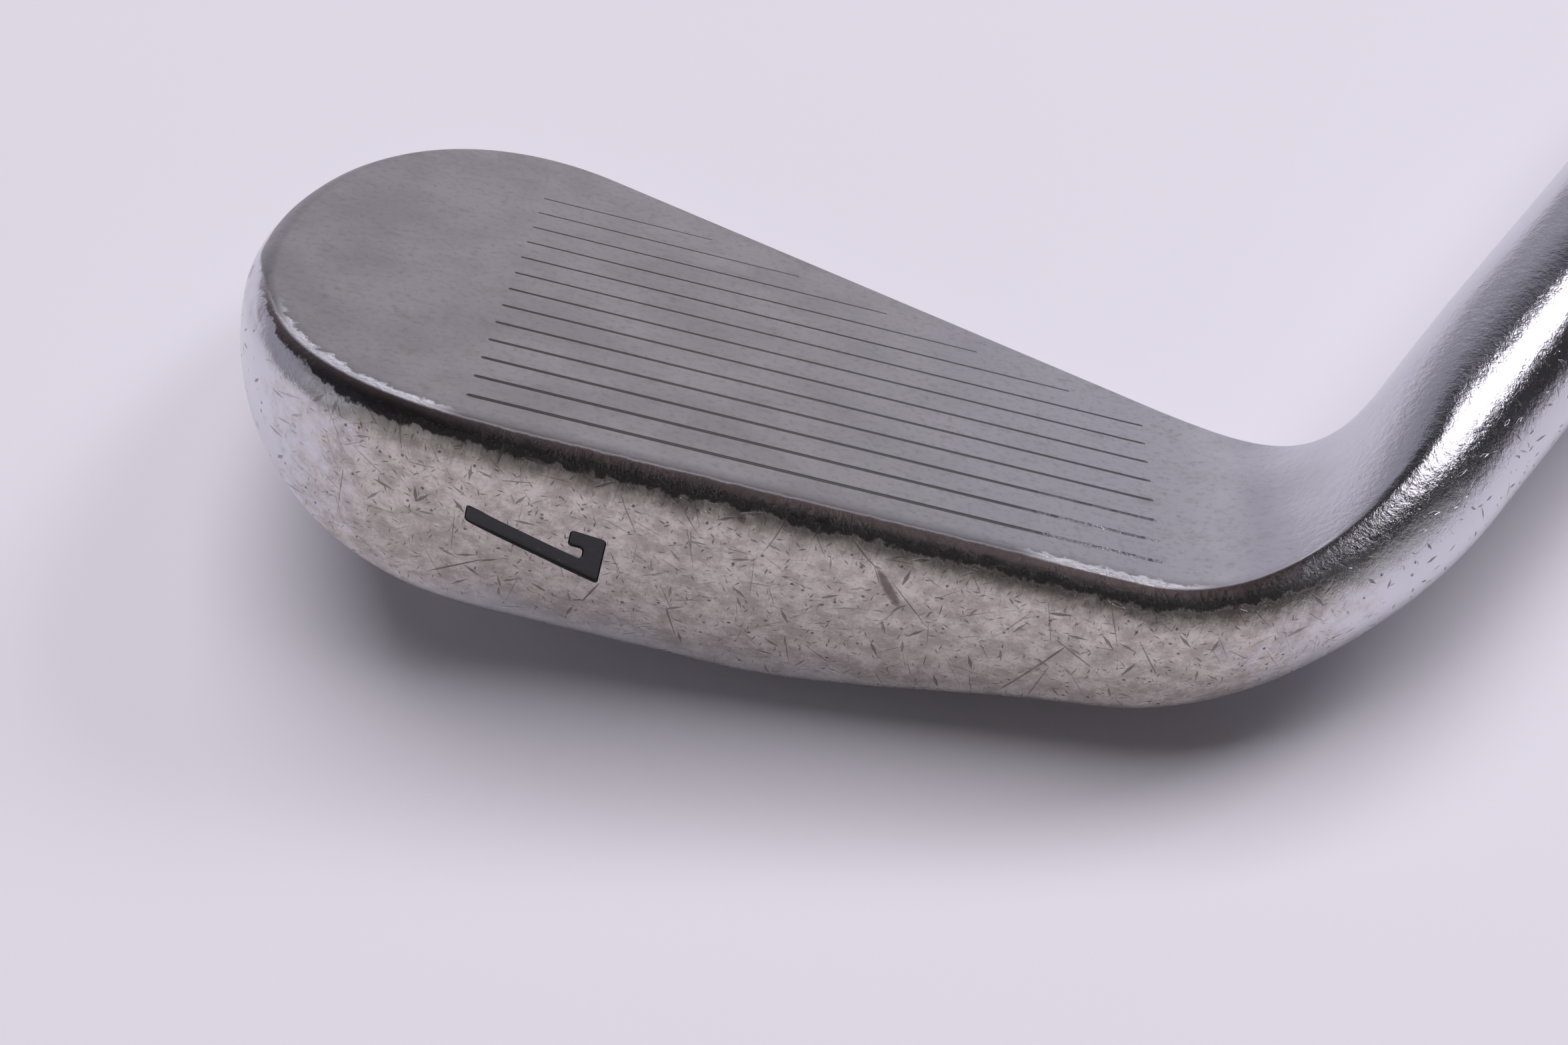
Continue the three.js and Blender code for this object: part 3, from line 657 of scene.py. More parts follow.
def drawn_in(outline, margin):
    """An outline that runs anticlockwise, moved inwards by a margin."""
    along = np.roll(outline, -1, axis=0) - np.roll(outline, 1, axis=0)
    along /= np.linalg.norm(along, axis=1)[:, None]
    return outline + margin * np.column_stack((-along[:, 1], along[:, 0]))


def block(outline, levels, place):
    """A solid through the same outline at several levels: rows of (height, margin)."""
    points = []
    for height, margin in levels:
        ring = drawn_in(outline, margin)
        points += [place @ Vector((x, y, height)) for x, y in ring]
    n = len(outline)
    faces = [tuple(reversed(range(n))), tuple(range(len(points) - n, len(points)))]
    for r in range(len(levels) - 1):
        for i in range(n):
            j = (i + 1) % n
            faces.append((r * n + i, r * n + j, r * n + n + j, r * n + n + i))
    mesh = bpy.data.meshes.new("block")
    mesh.from_pydata(points, [], faces)
    return mesh


# scorelines: milled across the face with a tapered cutter, the upper ones cut short so that
# they stop clear of the topline
SCORE_COUNT = 13
SCORE_PITCH = 3.5
SCORE_HALF_LENGTH = 26.5
SCORE_RADIUS = 0.26
SCORE_TIP, SCORE_SHANK = 0.5, 1.5   # the cutter's radii at its tip and as far above the face
SCORE_DEPTH = 0.22
SCORE_WEAR = 0.7            # how much shallower the topmost line is than the lowest
TOPLINE_MARGIN = 10.6


def evaluated_mesh(thing):
    """The mesh of an object with its modifiers done."""
    done = thing.evaluated_get(bpy.context.evaluated_depsgraph_get())
    return bpy.data.meshes.new_from_object(done)


def grow(name, carrier, inputs, build):
    """Runs a Geometry Nodes tree with these named inputs on an object, and gives the mesh."""
    group = bpy.data.node_groups.new(name, "GeometryNodeTree")
    kinds = {int: "NodeSocketInt", float: "NodeSocketFloat"}
    group.interface.new_socket("Geometry", in_out="INPUT", socket_type="NodeSocketGeometry")
    group.interface.new_socket("Geometry", in_out="OUTPUT", socket_type="NodeSocketGeometry")
    sockets = {label: group.interface.new_socket(label, in_out="INPUT",
                                                 socket_type=kinds[type(value)])
               for label, value in inputs.items()}
    tree = Tree(group)
    entry = tree.nodes.new("NodeGroupInput")
    given = {label: Value(tree, entry.outputs[label]) for label in inputs}
    result = build(tree, Value(tree, entry.outputs["Geometry"]), given)
    tree.links.new(result.out, tree.nodes.new("NodeGroupOutput").inputs["Geometry"])
    modifier = carrier.modifiers.new(name, "NODES")
    modifier.node_group = group
    for label, socket in sockets.items():
        modifier[socket.identifier] = inputs[label]
    mesh = evaluated_mesh(carrier)
    carrier.modifiers.remove(modifier)
    return mesh


def cut_scorelines(tree, _, given):
    """A tapered cutter at each line, smaller for the worn upper lines, and drawn out to the
    line's two ends."""
    cutter = tree.add("GeometryNodeMeshCone", {}, Vertices=14,
                      Radius_Top=given["radius"] * SCORE_SHANK,
                      Radius_Bottom=given["radius"] * SCORE_TIP, Depth=given["depth"] * 2)
    cutter = tree.add("GeometryNodeTransform", {}, Geometry=cutter,
                      Translation=tree.combine(0.0, 0.0, given["depth"] * -1))
    end = tree.add("GeometryNodeInputPosition", {}).axes()[0] > 0
    line = tree.add("GeometryNodeMeshLine", {}, Count=given["count"],
                    Offset=tree.combine(0.0, given["pitch"], 0.0))
    index = tree.add("GeometryNodeInputIndex", {})
    worn = 1 - index / given["count"] * given["wear"]
    many = tree.add("GeometryNodeInstanceOnPoints", {}, Points=tree.stored(line, "line", index),
                    Instance=tree.stored(cutter, "heel_end", end),
                    Scale=tree.combine(worn, worn, worn))
    solid = tree.add("GeometryNodeRealizeInstances", {}, Geometry=many)
    number, side = tree.kept("line"), tree.kept("heel_end")
    to_topline = (given["topline height"] - number * given["pitch"]) / given["topline slope"]
    heel = (to_topline - given["margin"]).least(given["half length"])
    shift = side * heel - (1 - side) * given["half length"]
    moved = tree.add("GeometryNodeSetPosition", {}, Geometry=solid,
                     Offset=tree.combine(shift, 0.0, 0.0))
    return tree.add("GeometryNodeSetMaterial", {}, Geometry=moved)


score_carrier = new_object("score_carrier", bpy.data.meshes.new("score_carrier"))
score_cutters = new_object("score_cutters", grow("scorelines", score_carrier, {
    "count": SCORE_COUNT, "pitch": SCORE_PITCH, "radius": SCORE_RADIUS, "depth": SCORE_DEPTH,
    "half length": SCORE_HALF_LENGTH, "topline height": TOPLINE_AT_ZERO,
    "topline slope": -TOPLINE_SLOPE, "margin": TOPLINE_MARGIN, "wear": SCORE_WEAR
}, cut_scorelines))

# the seven stamped in the sole, with its top towards the heel
STAMP_CENTRE = Vector((-19.5, -2.9, -9.4))
STAMP_DEPTH = 0.7
STAMP_STROKES = ((-3.0, -5.3), (-1.0, -5.3), (3.2, 5.4), (-2.7, 5.4),
                 (-3.0, 2.6), (-1.0, 2.6), (-1.0, 3.8), (0.4, 3.8))
STAMP_ROUNDING = 0.45
sole_angle = math.radians(SOLE["wall_angle"])
stamp_frame = columns(Vector((0, math.cos(sole_angle), -math.sin(sole_angle))), HEELWARD,
                      Vector((0, -math.sin(sole_angle), -math.cos(sole_angle))), STAMP_CENTRE)
stamp_outline = rounded(STAMP_STROKES, STAMP_ROUNDING)
stamp = new_object("stamp", block(stamp_outline, (
    (-STAMP_DEPTH, 0.12), (-0.35, 0.04), (-0.1, 0.0), (1.0, -0.06)), stamp_frame))

# the shallow pocket milled in the back, with a drafted wall and a rounded floor
POCKET_CORNERS = ((-33, 22), (-24, 15.5), (17, 17), (14, 27.5), (-31, 42))
POCKET_ROUNDING = 5
FACE_THICKNESS = 3.0
pocket_outline = rounded(POCKET_CORNERS, POCKET_ROUNDING, steps=10)
pocket = new_object("pocket", block(pocket_outline, (
    (-30.0, -4.0), (-4.6, 0.0), (-3.6, 0.25), (-3.15, 0.7), (-FACE_THICKNESS, 1.3)), Matrix()))


def carved(solid, cutters):
    """A solid less its cutters, as a plain mesh. The cutters are thrown away."""
    for cutter in cutters:
        modifier = solid.modifiers.new(cutter.name, "BOOLEAN")
        modifier.operation = "DIFFERENCE"
        modifier.solver = "EXACT"
        modifier.object = cutter
    mesh = evaluated_mesh(solid)
    for cutter in cutters:
        bpy.data.objects.remove(cutter)
    return mesh


SHARP_ANGLE = math.radians(32)


def fit(mesh, name, frame_matrix, finish, node):
    mesh.transform(frame_matrix)
    mesh.name = name
    mesh.materials.clear()
    mesh.materials.append(finish)
    mesh.shade_smooth()
    mesh.set_sharp_from_angle(angle=SHARP_ANGLE)
    made = new_object(name, mesh)
    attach(made, "root")
    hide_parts(node)


raw_mesh, past_edge = head_mesh()
wear_head(raw_mesh, past_edge)
raw_head = new_object("raw_head", raw_mesh)
head_shape = carved(raw_head, [score_cutters, stamp, pocket])
bpy.data.objects.remove(raw_head)
bpy.data.objects.remove(score_carrier)


# marks that have their own places on the sole and the edge, as (start, end, width)
PLACED_MARKS = (((17.9, -0.1, -13.8), (21.0, -4.4, -6.5), 0.22),
                ((9.8, -5.9, -2.9), (8.9, -2.4, -10.4), 0.12),
                ((11.1, -5.1, -5.0), (11.6, -0.9, -12.9), 0.12),
                ((-28.0, 1.0, -16.5), (-21.7, -1.8, -11.7), 0.14),
                ((-15.0, 0.3, -15.2), (-13.9, -1.6, -12.0), 0.14),
                ((-26.0, -5.5, -1.6), (-25.3, -4.7, -5.7), 0.1),
                ((5.5, -5.9, -3.0), (8.4, -4.1, -7.2), 0.55))


def head_chrome():
    look = Finish("head_chrome", face_frame, Metallic=1.0)
    at = look.at
    x, y, z = at.axes()
    past = look.map("past_face_edge").axes()[0]
    cloud = look.noise(at, 0.11, 4.0)
    grain = look.noise(at, 1.5, 6.0, 0.7)
    grit = look.noise(at, 2.6, 5.0, 0.75)
    ragged = look.noise(at, 0.9, 5.0, 0.65) - 0.5
    torn = look.noise(at, 0.38, 4.0, 0.6) - 0.5

    # the satin reaches over the rounded rim at the topline and stops at the leading edge, where
    # play has polished two corners bright; it fades out where the heel runs into the hosel
    low = y.fall(2, 12)
    polished = x.between(-44, -40, -32, -26).most(x.between(15, 20, 26, 31))
    polished = polished * low * (past + ragged * 3.0).rise(-0.3, 0.1) * past.fall(0.6, 0.9)
    satin_end = y.rise(8, 20, 0.5, 1.8)
    satin = (past - satin_end + ragged * 0.4).fall(-0.1, 0.25)
    satin = satin * (x + (cloud - 0.5) * 10).fall(29, 42) * (1 - polished)
    # under the leading edge runs a scuffed band, darkened as a painted reflection of the dark
    # ceiling, and behind it the sole is worn to a warm grey nickel up to a torn border
    band_end = x.rise(-47, -30, 1.1, 2.6)
    beyond = past - band_end + (ragged + torn) * 1.7
    band = (past + ragged * 0.5).rise(0.4, 0.8) * beyond.fall(-0.15, 0.2)
    band = band * y.fall(6, 17) * (x + ragged * 8).fall(33, 46)
    frayed_x = x + (ragged + torn) * 14
    worn = (beyond.rise(-0.8, -0.3) * (z + (cloud - 0.5) * 8).rise(-21, -15)
            * frayed_x.between(-43, -31, 32, 46) * (y + torn * 9).fall(4, 15))

    across = look.combine(x, z, 0.0)
    mottle = look.noise(at, 0.5, 6.0, 0.72)
    smear = look.noise(look.vector("MULTIPLY", at, (1.0, 1.0, 0.45)), 0.32, 6.0, 0.72)
    nicks = look.scratches(across, 0.55, 0.2, 1.2, 0.5, seed=3.1)
    fine_nicks = look.scratches(across, 1.6, 0.09, 0.42, 0.55, seed=8.4)
    long_lines = look.scratches(across, 0.22, 0.09, 4.4, 0.9, lean=1.3, spread=1.6, seed=5.7)
    cross_lines = look.scratches(across, 0.42, 0.06, 2.2, 0.8, lean=0.3, spread=2.2, seed=15.2)
    specks = look.pits(at, 1.1, 0.20, 0.25, seed=2.0)
    round_hosel = look.combine(y + x * 0.5, z - x * 0.3, 0.0)
    dings = look.scratches(round_hosel, 0.8, 0.17, 0.62, 0.5, lean=0.4, spread=2.4, seed=12.0)
    dings = dings.most(look.scratches(round_hosel, 0.3, 0.16, 1.2, 0.4, lean=0.6, spread=2.0,
                                      seed=31.0))
    struck = look.mark(*PLACED_MARKS[0])
    for placed in PLACED_MARKS[1:]:
        struck = struck.most(look.mark(*placed))
    lapping = look.noise(look.vector("MULTIPLY", at, (5.0, 0.3, 0.3)), 1.0, 3.0)
    on_sole = nicks.most(long_lines * 0.8).most(cross_lines * 0.7).most(fine_nicks * 0.9) * worn
    on_chrome = dings * (1 - worn) * (1 - band) * past.rise(2.0, 4.0)
    hurt = on_sole.most(on_chrome).most(struck) * (1 - satin)
    pitted = specks * (1 - satin) * past.rise(1.5, 4)

    chrome = look.mix(cloud, (0.71, 0.705, 0.75), (0.65, 0.645, 0.685))
    nickel = look.layers(
        (0.64, 0.595, 0.545),
        (mottle.rise(0.38, 0.62), (0.42, 0.38, 0.345)),
        (smear.rise(0.52, 0.66) * 0.55, (0.34, 0.30, 0.27)),
        (grit.rise(0.50, 0.68) * 0.5, (0.33, 0.30, 0.28)),
        (lapping.rise(0.5, 0.75) * past.rise(3, 7, 0.5, 0.0), (0.30, 0.27, 0.25)),
        ((beyond + torn * 2).rise(0.0, 1.1, 0.6, 0.0), (0.20, 0.175, 0.165)))
    in_line = (satin * past.fall(-1.5, -1.0).most((z < -0.05) * (past < 0.01))
               * (z < -0.03))
    blasted_with_painted_light = look.layers(
        (0.395, 0.38, 0.38),
        (cloud.rise(0.35, 0.65), (0.33, 0.318, 0.318)),
        # painted reflection of the pale walls: the satin lighter and more lavender towards the heel
        (x.rise(-5, 30), (0.47, 0.46, 0.49)),
        (grain.rise(0.48, 0.72) * 0.45, (0.21, 0.20, 0.195)),
        (smear.rise(0.54, 0.70) * 0.35, (0.24, 0.21, 0.19)),
        # painted shade: a darker strip where the face's flat turns over the leading edge
        (low * past.rise(-1.2, 0.3) * 0.55, (0.17, 0.16, 0.165)),
        (in_line * 0.8, (0.46, 0.45, 0.45)))
    # the scuffed band's colour, darkened as a painted reflection of the dark ceiling, near black
    # towards the sole
    scuffs_and_painted_dark_reflection = look.layers(
        (0.15, 0.118, 0.112),
        ((past + ragged).rise(0.8, 1.9), (0.055, 0.050, 0.050)),
        (grit.rise(0.55, 0.72) * 0.4, (0.24, 0.22, 0.22)))
    colour = look.layers(
        chrome, (worn, nickel), (satin, blasted_with_painted_light), (band, scuffs_and_painted_dark_reflection),
        (polished, (0.92, 0.91, 0.93)),
        (hurt * 0.8, (0.15, 0.12, 0.105)),
        (pitted * 0.8, (0.10, 0.085, 0.08)))

    roughness = 0.12 + cloud * 0.05 + worn * (0.11 + mottle * 0.14) + band * 0.12
    roughness = roughness * (1 - satin) + satin * (0.37 + grain * 0.10)
    roughness = roughness + hurt * 0.15

    orange_peel = look.noise(at, 1.35, 5.0, 0.7)
    on_heel = x.between(20, 32, 46, 60)
    fine = orange_peel * (1 - satin) * (4.2 + on_heel * 3.6 + polished * 10.0)
    fine = fine + (grain * 0.8 + grit * 0.5) * satin
    fine = fine + lapping * worn * 2.0 + (mottle + grit) * worn * 3.0 + (torn + grit) * band * 6.0
    normal = look.bump(fine, 0.010, look.bump(look.noise(at, 0.8, 3.0, 0.55), 0.010))
    normal = look.bump(1 - hurt.most(pitted), 0.04, normal)
    return look.done(colour, roughness, normal)


fit(head_shape, "clubhead_shell", face_frame, head_chrome(), "clubhead")

# ---- number fill ----
# Black enamel wiped into the stamped seven, a little below the sole's surface.
FILL_TOP = -0.10


def number_enamel():
    look = Finish("number_enamel", face_frame)
    dust = look.noise(look.at, 1.6, 5.0, 0.7)
    chips = look.pits(look.at, 1.2, 0.22, 0.25, seed=4.0)
    colour = look.mix(dust.rise(0.45, 0.8), (0.006, 0.006, 0.007), (0.030, 0.028, 0.028))
    colour = look.mix(chips * 0.5, colour, (0.12, 0.11, 0.10))
    return look.done(colour, 0.42 + dust * 0.25, look.bump(dust, 0.03))


fill = block(stamp_outline, (
    (-STAMP_DEPTH + 0.1, 0.16), (FILL_TOP - 0.08, 0.05), (FILL_TOP, 0.10)), stamp_frame)
fit(fill, "number_fill", face_frame, number_enamel(), "sole_number_paint")

# ---- ferrule and its ring ----
# A black plastic cone turned down flush with the hosel, pushed on the shaft tip before it was
# glued in, with a bright trim ring let into it.
FERRULE_FROM = HOSEL_TOP + 0.3
FERRULE_LENGTH = 22.0
TIP_RADIUS = 4.6
FIT_GAP = 0.1
RING_FROM = 4.0
RING_WIDTH = 1.4
RING_DEPTH = 0.4
GROOVE_EDGE = 0.05
ROUND_SIDES = 96


def turned(profile, sides=ROUND_SIDES):
    """A ring turned about the shaft axis from a closed profile of (radius, distance along), with
    a map of (distance round, distance along) in millimetres."""
    profile = np.array(profile, float)
    angles = np.arange(sides) * 2 * math.pi / sides
    points = [(r * math.sin(a), along, r * math.cos(a)) for a in angles for r, along in profile]
    n = len(profile)
    faces = []
    uvs = []
    widest = profile[:, 0].max()
    for s in range(sides):
        t = (s + 1) % sides
        for i in range(n):
            j = (i + 1) % n
            faces.append((s * n + i, t * n + i, t * n + j, s * n + j))
            here, there = (widest * 2 * math.pi * k / sides for k in (s, s + 1))
            low, high = profile[i, 1], profile[j, 1]
            uvs += [(here, low), (there, low), (there, high), (here, high)]
    mesh = bpy.data.meshes.new("turned")
    mesh.from_pydata(points, [], faces)
    mesh.uv_layers.new(name="round_and_along").uv.foreach_set("vector", np.array(uvs).ravel())
    return mesh


def ferrule_radius(k):
    """Straight over its first third, then drawn in to the end."""
    return lerp(HOSEL_RADIUS, TIP_RADIUS + 0.7, max(0, (k - 0.35) / 0.65) ** 1.6)


def ferrule_profile():
    inner = TIP_RADIUS + FIT_GAP
    floor_radius = HOSEL_RADIUS - RING_DEPTH
    ring_to = RING_FROM + RING_WIDTH
    rows = [(inner, 0), (HOSEL_RADIUS - 0.15, 0), (HOSEL_RADIUS - 0.04, 0.06), (HOSEL_RADIUS, 0.2)]
    rows += [(HOSEL_RADIUS, RING_FROM - GROOVE_EDGE), (HOSEL_RADIUS - GROOVE_EDGE, RING_FROM),
             (floor_radius, RING_FROM), (floor_radius, ring_to),
             (HOSEL_RADIUS - GROOVE_EDGE, ring_to), (HOSEL_RADIUS, ring_to + GROOVE_EDGE)]
    rows += [(ferrule_radius(k), FERRULE_LENGTH * k) for k in np.linspace(0.3, 0.985, 24)]
    rows += [(ferrule_radius(1) - 0.2, FERRULE_LENGTH), (inner, FERRULE_LENGTH)]
    return [(r, FERRULE_FROM + z) for r, z in rows]


def ferrule_plastic():
    look = Finish("ferrule_plastic", shaft_frame, Specular_IOR_Level=0.5, Coat_Weight=0.25)
    wrap = look.map("round_and_along")
    haze = look.noise(look.at, 0.5, 4.0)
    rubs = look.scratches(wrap, 0.35, 0.05, 1.8, 0.6, seed=2.3)
    colour = look.mix(haze, (0.008, 0.008, 0.009), (0.016, 0.016, 0.017))
    colour = look.mix(rubs * 0.5, colour, (0.07, 0.07, 0.07))
    rings = look.noise(look.vector("MULTIPLY", wrap, (0.02, 7.0, 1.0)), 1.0, 2.0)
    normal = look.bump(rings - rubs * 0.6, 0.01)
    return look.done(colour, 0.16 + haze * 0.14 + rubs * 0.2, normal)


def bright_ring():
    look = Finish("bright_ring", shaft_frame, Metallic=1.0)
    wrap = look.map("round_and_along")
    lathe = look.noise(look.vector("MULTIPLY", wrap, (0.03, 22.0, 1.0)), 1.0, 2.0)
    tarnish = look.noise(look.at, 0.4, 4.0)
    colour = look.mix(tarnish, (0.86, 0.86, 0.88), (0.68, 0.67, 0.66))
    return look.done(colour, 0.16 + lathe * 0.16, look.bump(lathe, 0.006))


fit(turned(ferrule_profile()), "ferrule_cone", shaft_frame, ferrule_plastic(),
    "ferrule")

ring_low = FERRULE_FROM + RING_FROM + FIT_GAP
ring_high = FERRULE_FROM + RING_FROM + RING_WIDTH - FIT_GAP
ring_inner = HOSEL_RADIUS - RING_DEPTH + FIT_GAP
ring_profile = [(ring_inner, ring_low), (HOSEL_RADIUS - 0.1, ring_low),
                (HOSEL_RADIUS, ring_low + 0.12), (HOSEL_RADIUS, ring_high - 0.12),
                (HOSEL_RADIUS - 0.1, ring_high), (ring_inner, ring_high)]
fit(turned(ring_profile), "trim_ring", shaft_frame, bright_ring(), "ferrule_ring")

# ---- glue and tip weight ----
# Two hidden pieces in the hosel bore: the sleeve of cured epoxy round the shaft tip, and the
# brass pin in the tip's end that sets the swing weight. Their CAD shapes stay.


def refinish(node, finish):
    """A CAD node keeps its shape and gets a finish."""
    mesh = frame["nodes"][node].data
    mesh.materials.clear()
    mesh.materials.append(finish)


def cured_epoxy():
    look = Finish("cured_epoxy", shaft_frame, Specular_IOR_Level=0.5)
    swirl = look.noise(look.at, 0.8, 5.0, 0.6)
    bubbles = look.pits(look.at, 1.6, 0.25, 0.4)
    colour = look.mix(swirl, (0.50, 0.43, 0.30), (0.62, 0.55, 0.42))
    colour = look.mix(bubbles * 0.6, colour, (0.36, 0.29, 0.19))
    return look.done(colour, 0.35 + swirl * 0.2, look.bump(1 - bubbles, 0.05))


def turned_brass():
    look = Finish("turned_brass", shaft_frame, Metallic=1.0)
    along = look.at.axes()[1]
    tool = look.noise(look.combine(0.0, along * 9.0, 0.0), 1.0, 2.0)
    tarnish = look.noise(look.at, 0.5, 4.0)
    colour = look.mix(tarnish, (0.76, 0.57, 0.28), (0.52, 0.37, 0.17))
    return look.done(colour, 0.2 + tarnish * 0.2, look.bump(tool, 0.01))


refinish("epoxy_bond", cured_epoxy())
refinish("tip_weight", turned_brass())

# ---- shaft ----
# A chromed steel tube, drawn down towards the tip in twelve short steps that are easy to feel
# with a finger. It is glued in the hosel at the tip and holds the grip at the butt.
CLUB_LENGTH = 940.0
SHAFT_FROM = 45.0
SHAFT_TO = CLUB_LENGTH - 6
TIP_ROWS_FROM, BUTT_ROWS_FROM = 60.0, 640.0     # where the plain ends' rows of points start
FIRST_STEP = 215.0
STEP_SPACING = 35.0
STEP_COUNT = 11
STEP_RISE = 1.2
BUTT_RADIUS = 7.5
BORE_AT_TIP = 4.0
BORE_AT_BUTT = 7.15


def shaft_profile():
    rows = [(BORE_AT_TIP, SHAFT_FROM), (TIP_RADIUS - 0.3, SHAFT_FROM),
            (TIP_RADIUS, SHAFT_FROM + 0.4)]
    rows += [(TIP_RADIUS, z) for z in np.linspace(TIP_ROWS_FROM, FIRST_STEP - 10, 9)]
    for i in range(STEP_COUNT + 1):
        foot = FIRST_STEP + i * STEP_SPACING
        low = lerp(TIP_RADIUS, BUTT_RADIUS, i / (STEP_COUNT + 1))
        high = lerp(TIP_RADIUS, BUTT_RADIUS, (i + 1) / (STEP_COUNT + 1))
        rows += [(lerp(low, high, ease(k, 0, 1)), foot + STEP_RISE * k)
                 for k in np.linspace(0, 1, 7)]
        rows.append((high, foot + STEP_SPACING / 2))
    rows += [(BUTT_RADIUS, z) for z in np.linspace(BUTT_ROWS_FROM, SHAFT_TO - 20, 10)]
    rows += [(BUTT_RADIUS, SHAFT_TO), (BORE_AT_BUTT, SHAFT_TO)]
    last_step = FIRST_STEP + STEP_COUNT * STEP_SPACING
    return rows + [(BORE_AT_BUTT, last_step + STEP_SPACING), (BORE_AT_TIP, FIRST_STEP)]


def shaft_chrome():
    look = Finish("shaft_chrome", shaft_frame, Metallic=1.0)
    wrap = look.map("round_and_along")
    polish = look.noise(look.vector("MULTIPLY", wrap, (1.6, 0.02, 1.0)), 1.0, 3.0)
    haze = look.noise(look.at, 0.05, 5.0)
    bag_rub = look.scratches(wrap, 0.09, 0.05, 5.0, 0.7, seed=1.7)
    chatter = look.scratches(wrap, 0.3, 0.05, 1.4, 0.35, seed=6.1)
    rubs = bag_rub.most(chatter)
    colour = look.mix(haze, (0.80, 0.80, 0.83), (0.68, 0.68, 0.71))
    colour = look.mix(rubs * 0.5, colour, (0.42, 0.41, 0.40))
    wave = look.noise(look.at, 0.12, 2.0)
    normal = look.bump(polish, 0.004, look.bump(wave, 0.02))
    return look.done(colour, 0.07 + haze * 0.10 + rubs * 0.2, normal)


fit(turned(shaft_profile()), "shaft_tube", shaft_frame, shaft_chrome(), "shaft")

# ---- shaft band ----
# A plain dark film band under clear coat, wrapped on the tube just below the grip.
BAND_FROM, BAND_TO = 612.0, 650.0
BAND_MIDDLE = (BAND_FROM + BAND_TO) / 2
BAND_INNER = BUTT_RADIUS + 0.08
BAND_OUTER = BUTT_RADIUS + 0.2


def band_film():
    look = Finish("band_film", shaft_frame, Coat_Weight=0.6, Coat_Roughness=0.08)
    from_mid = (look.at.axes()[1] - BAND_MIDDLE).size()
    stripe = ((from_mid - 14).size() < 0.9).most((from_mid - 11).size() < 0.4)
    mottle = look.noise(look.at, 0.6, 4.0)
    rubs = look.scratches(look.map("round_and_along"), 0.2, 0.07, 2.0, 0.5, seed=9.0)
    colour = look.mix(mottle, (0.018, 0.030, 0.075), (0.030, 0.045, 0.100))
    colour = look.mix(stripe, colour, (0.50, 0.51, 0.54))
    colour = look.mix(rubs * 0.6, colour, (0.25, 0.25, 0.27))
    return look.done(colour, 0.28 + mottle * 0.15, look.bump(mottle, 0.01))


band_profile = [(BAND_INNER, BAND_FROM), (BAND_OUTER - 0.03, BAND_FROM),
                (BAND_OUTER, BAND_FROM + 0.06), (BAND_OUTER, BAND_MIDDLE),
                (BAND_OUTER, BAND_TO - 0.06), (BAND_OUTER - 0.03, BAND_TO), (BAND_INNER, BAND_TO)]
fit(turned(band_profile), "film_band", shaft_frame, band_film(), "shaft_band")

# ---- grip tape ----
# Double-sided paper tape between tube and grip. It hardly shows, so its CAD shape stays.


def crepe_tape():
    look = Finish("crepe_tape", shaft_frame)
    x, along, z = look.at.axes()
    crepe = look.noise(look.combine(x, along * 4.0, z), 1.0, 4.0)
    blotch = look.noise(look.at, 0.1, 3.0)
    colour = look.mix(blotch, (0.78, 0.73, 0.62), (0.68, 0.62, 0.50))
    return look.done(colour, 0.75 + crepe * 0.2, look.bump(crepe, 0.06))


refinish("grip_tape", crepe_tape())

# ---- grip ----
# A sleeve of moulded black rubber, slid over wet tape. The mould gives it rows of small raised
# bars that lean left and right in turn, between plain bands at the mouth and the butt.
GRIP_FROM = 672.0
CAP_THICKNESS = 4.0
GRIP_TO = CLUB_LENGTH - CAP_THICKNESS - 0.3
GRIP_MOUTH_RADIUS = 9.0
GRIP_BUTT_RADIUS = 13.2
BODY_BUTT_RADIUS = GRIP_BUTT_RADIUS - 0.4       # at the body's end, under the butt's band
GRIP_MOUTH = 2.0            # the rounded mouth's length, and the mouth's and butt band's together
GRIP_ENDS = 6.0
GRIP_SIDES = 64
GRIP_INNER = BUTT_RADIUS + FIT_GAP + 0.15 + FIT_GAP
GRIP_TAPER = 1.25
TREAD_HEIGHT = 0.28
TREAD_FROM = 14.0
TREAD_TO = 16.0
TREAD_FADE = 3.0
TREAD_ROWS = 118
TREAD_ROUND = 30
BAR_SIZE = 0.55
BAR_TOP = 0.62              # the bar's top as a share of its foot
BAR_STRETCH = 2.0
BAR_LEAN = 1.3
BAR_MEAN_RADIUS = 10.5


def grip_radius(k):
    return lerp(GRIP_MOUTH_RADIUS, BODY_BUTT_RADIUS, k ** GRIP_TAPER)


def grip_profile():
    length = GRIP_TO - GRIP_FROM
    tread_end = length - TREAD_TO
    sunk = TREAD_HEIGHT - 0.05
    rows = [(GRIP_INNER, GRIP_FROM), (GRIP_INNER + 0.6, GRIP_FROM),
            (GRIP_MOUTH_RADIUS - 0.35, GRIP_FROM + 0.4),
            (GRIP_MOUTH_RADIUS - 0.1, GRIP_FROM + 1), (GRIP_MOUTH_RADIUS, GRIP_FROM + GRIP_MOUTH)]
    for k in np.linspace(0.01, 1, 60):
        z = GRIP_MOUTH + (length - GRIP_ENDS) * k
        down = (sunk * ease(z, TREAD_FROM - TREAD_FADE, TREAD_FROM - TREAD_FADE + 1)
                * ease(z, tread_end + TREAD_FADE, tread_end + TREAD_FADE - 1))
        rows.append((grip_radius(k) - down, GRIP_FROM + z))
    rows += [(GRIP_BUTT_RADIUS, GRIP_TO - 2), (GRIP_BUTT_RADIUS, GRIP_TO - 0.3),
             (GRIP_BUTT_RADIUS - 0.3, GRIP_TO), (GRIP_INNER, GRIP_TO)]
    return rows


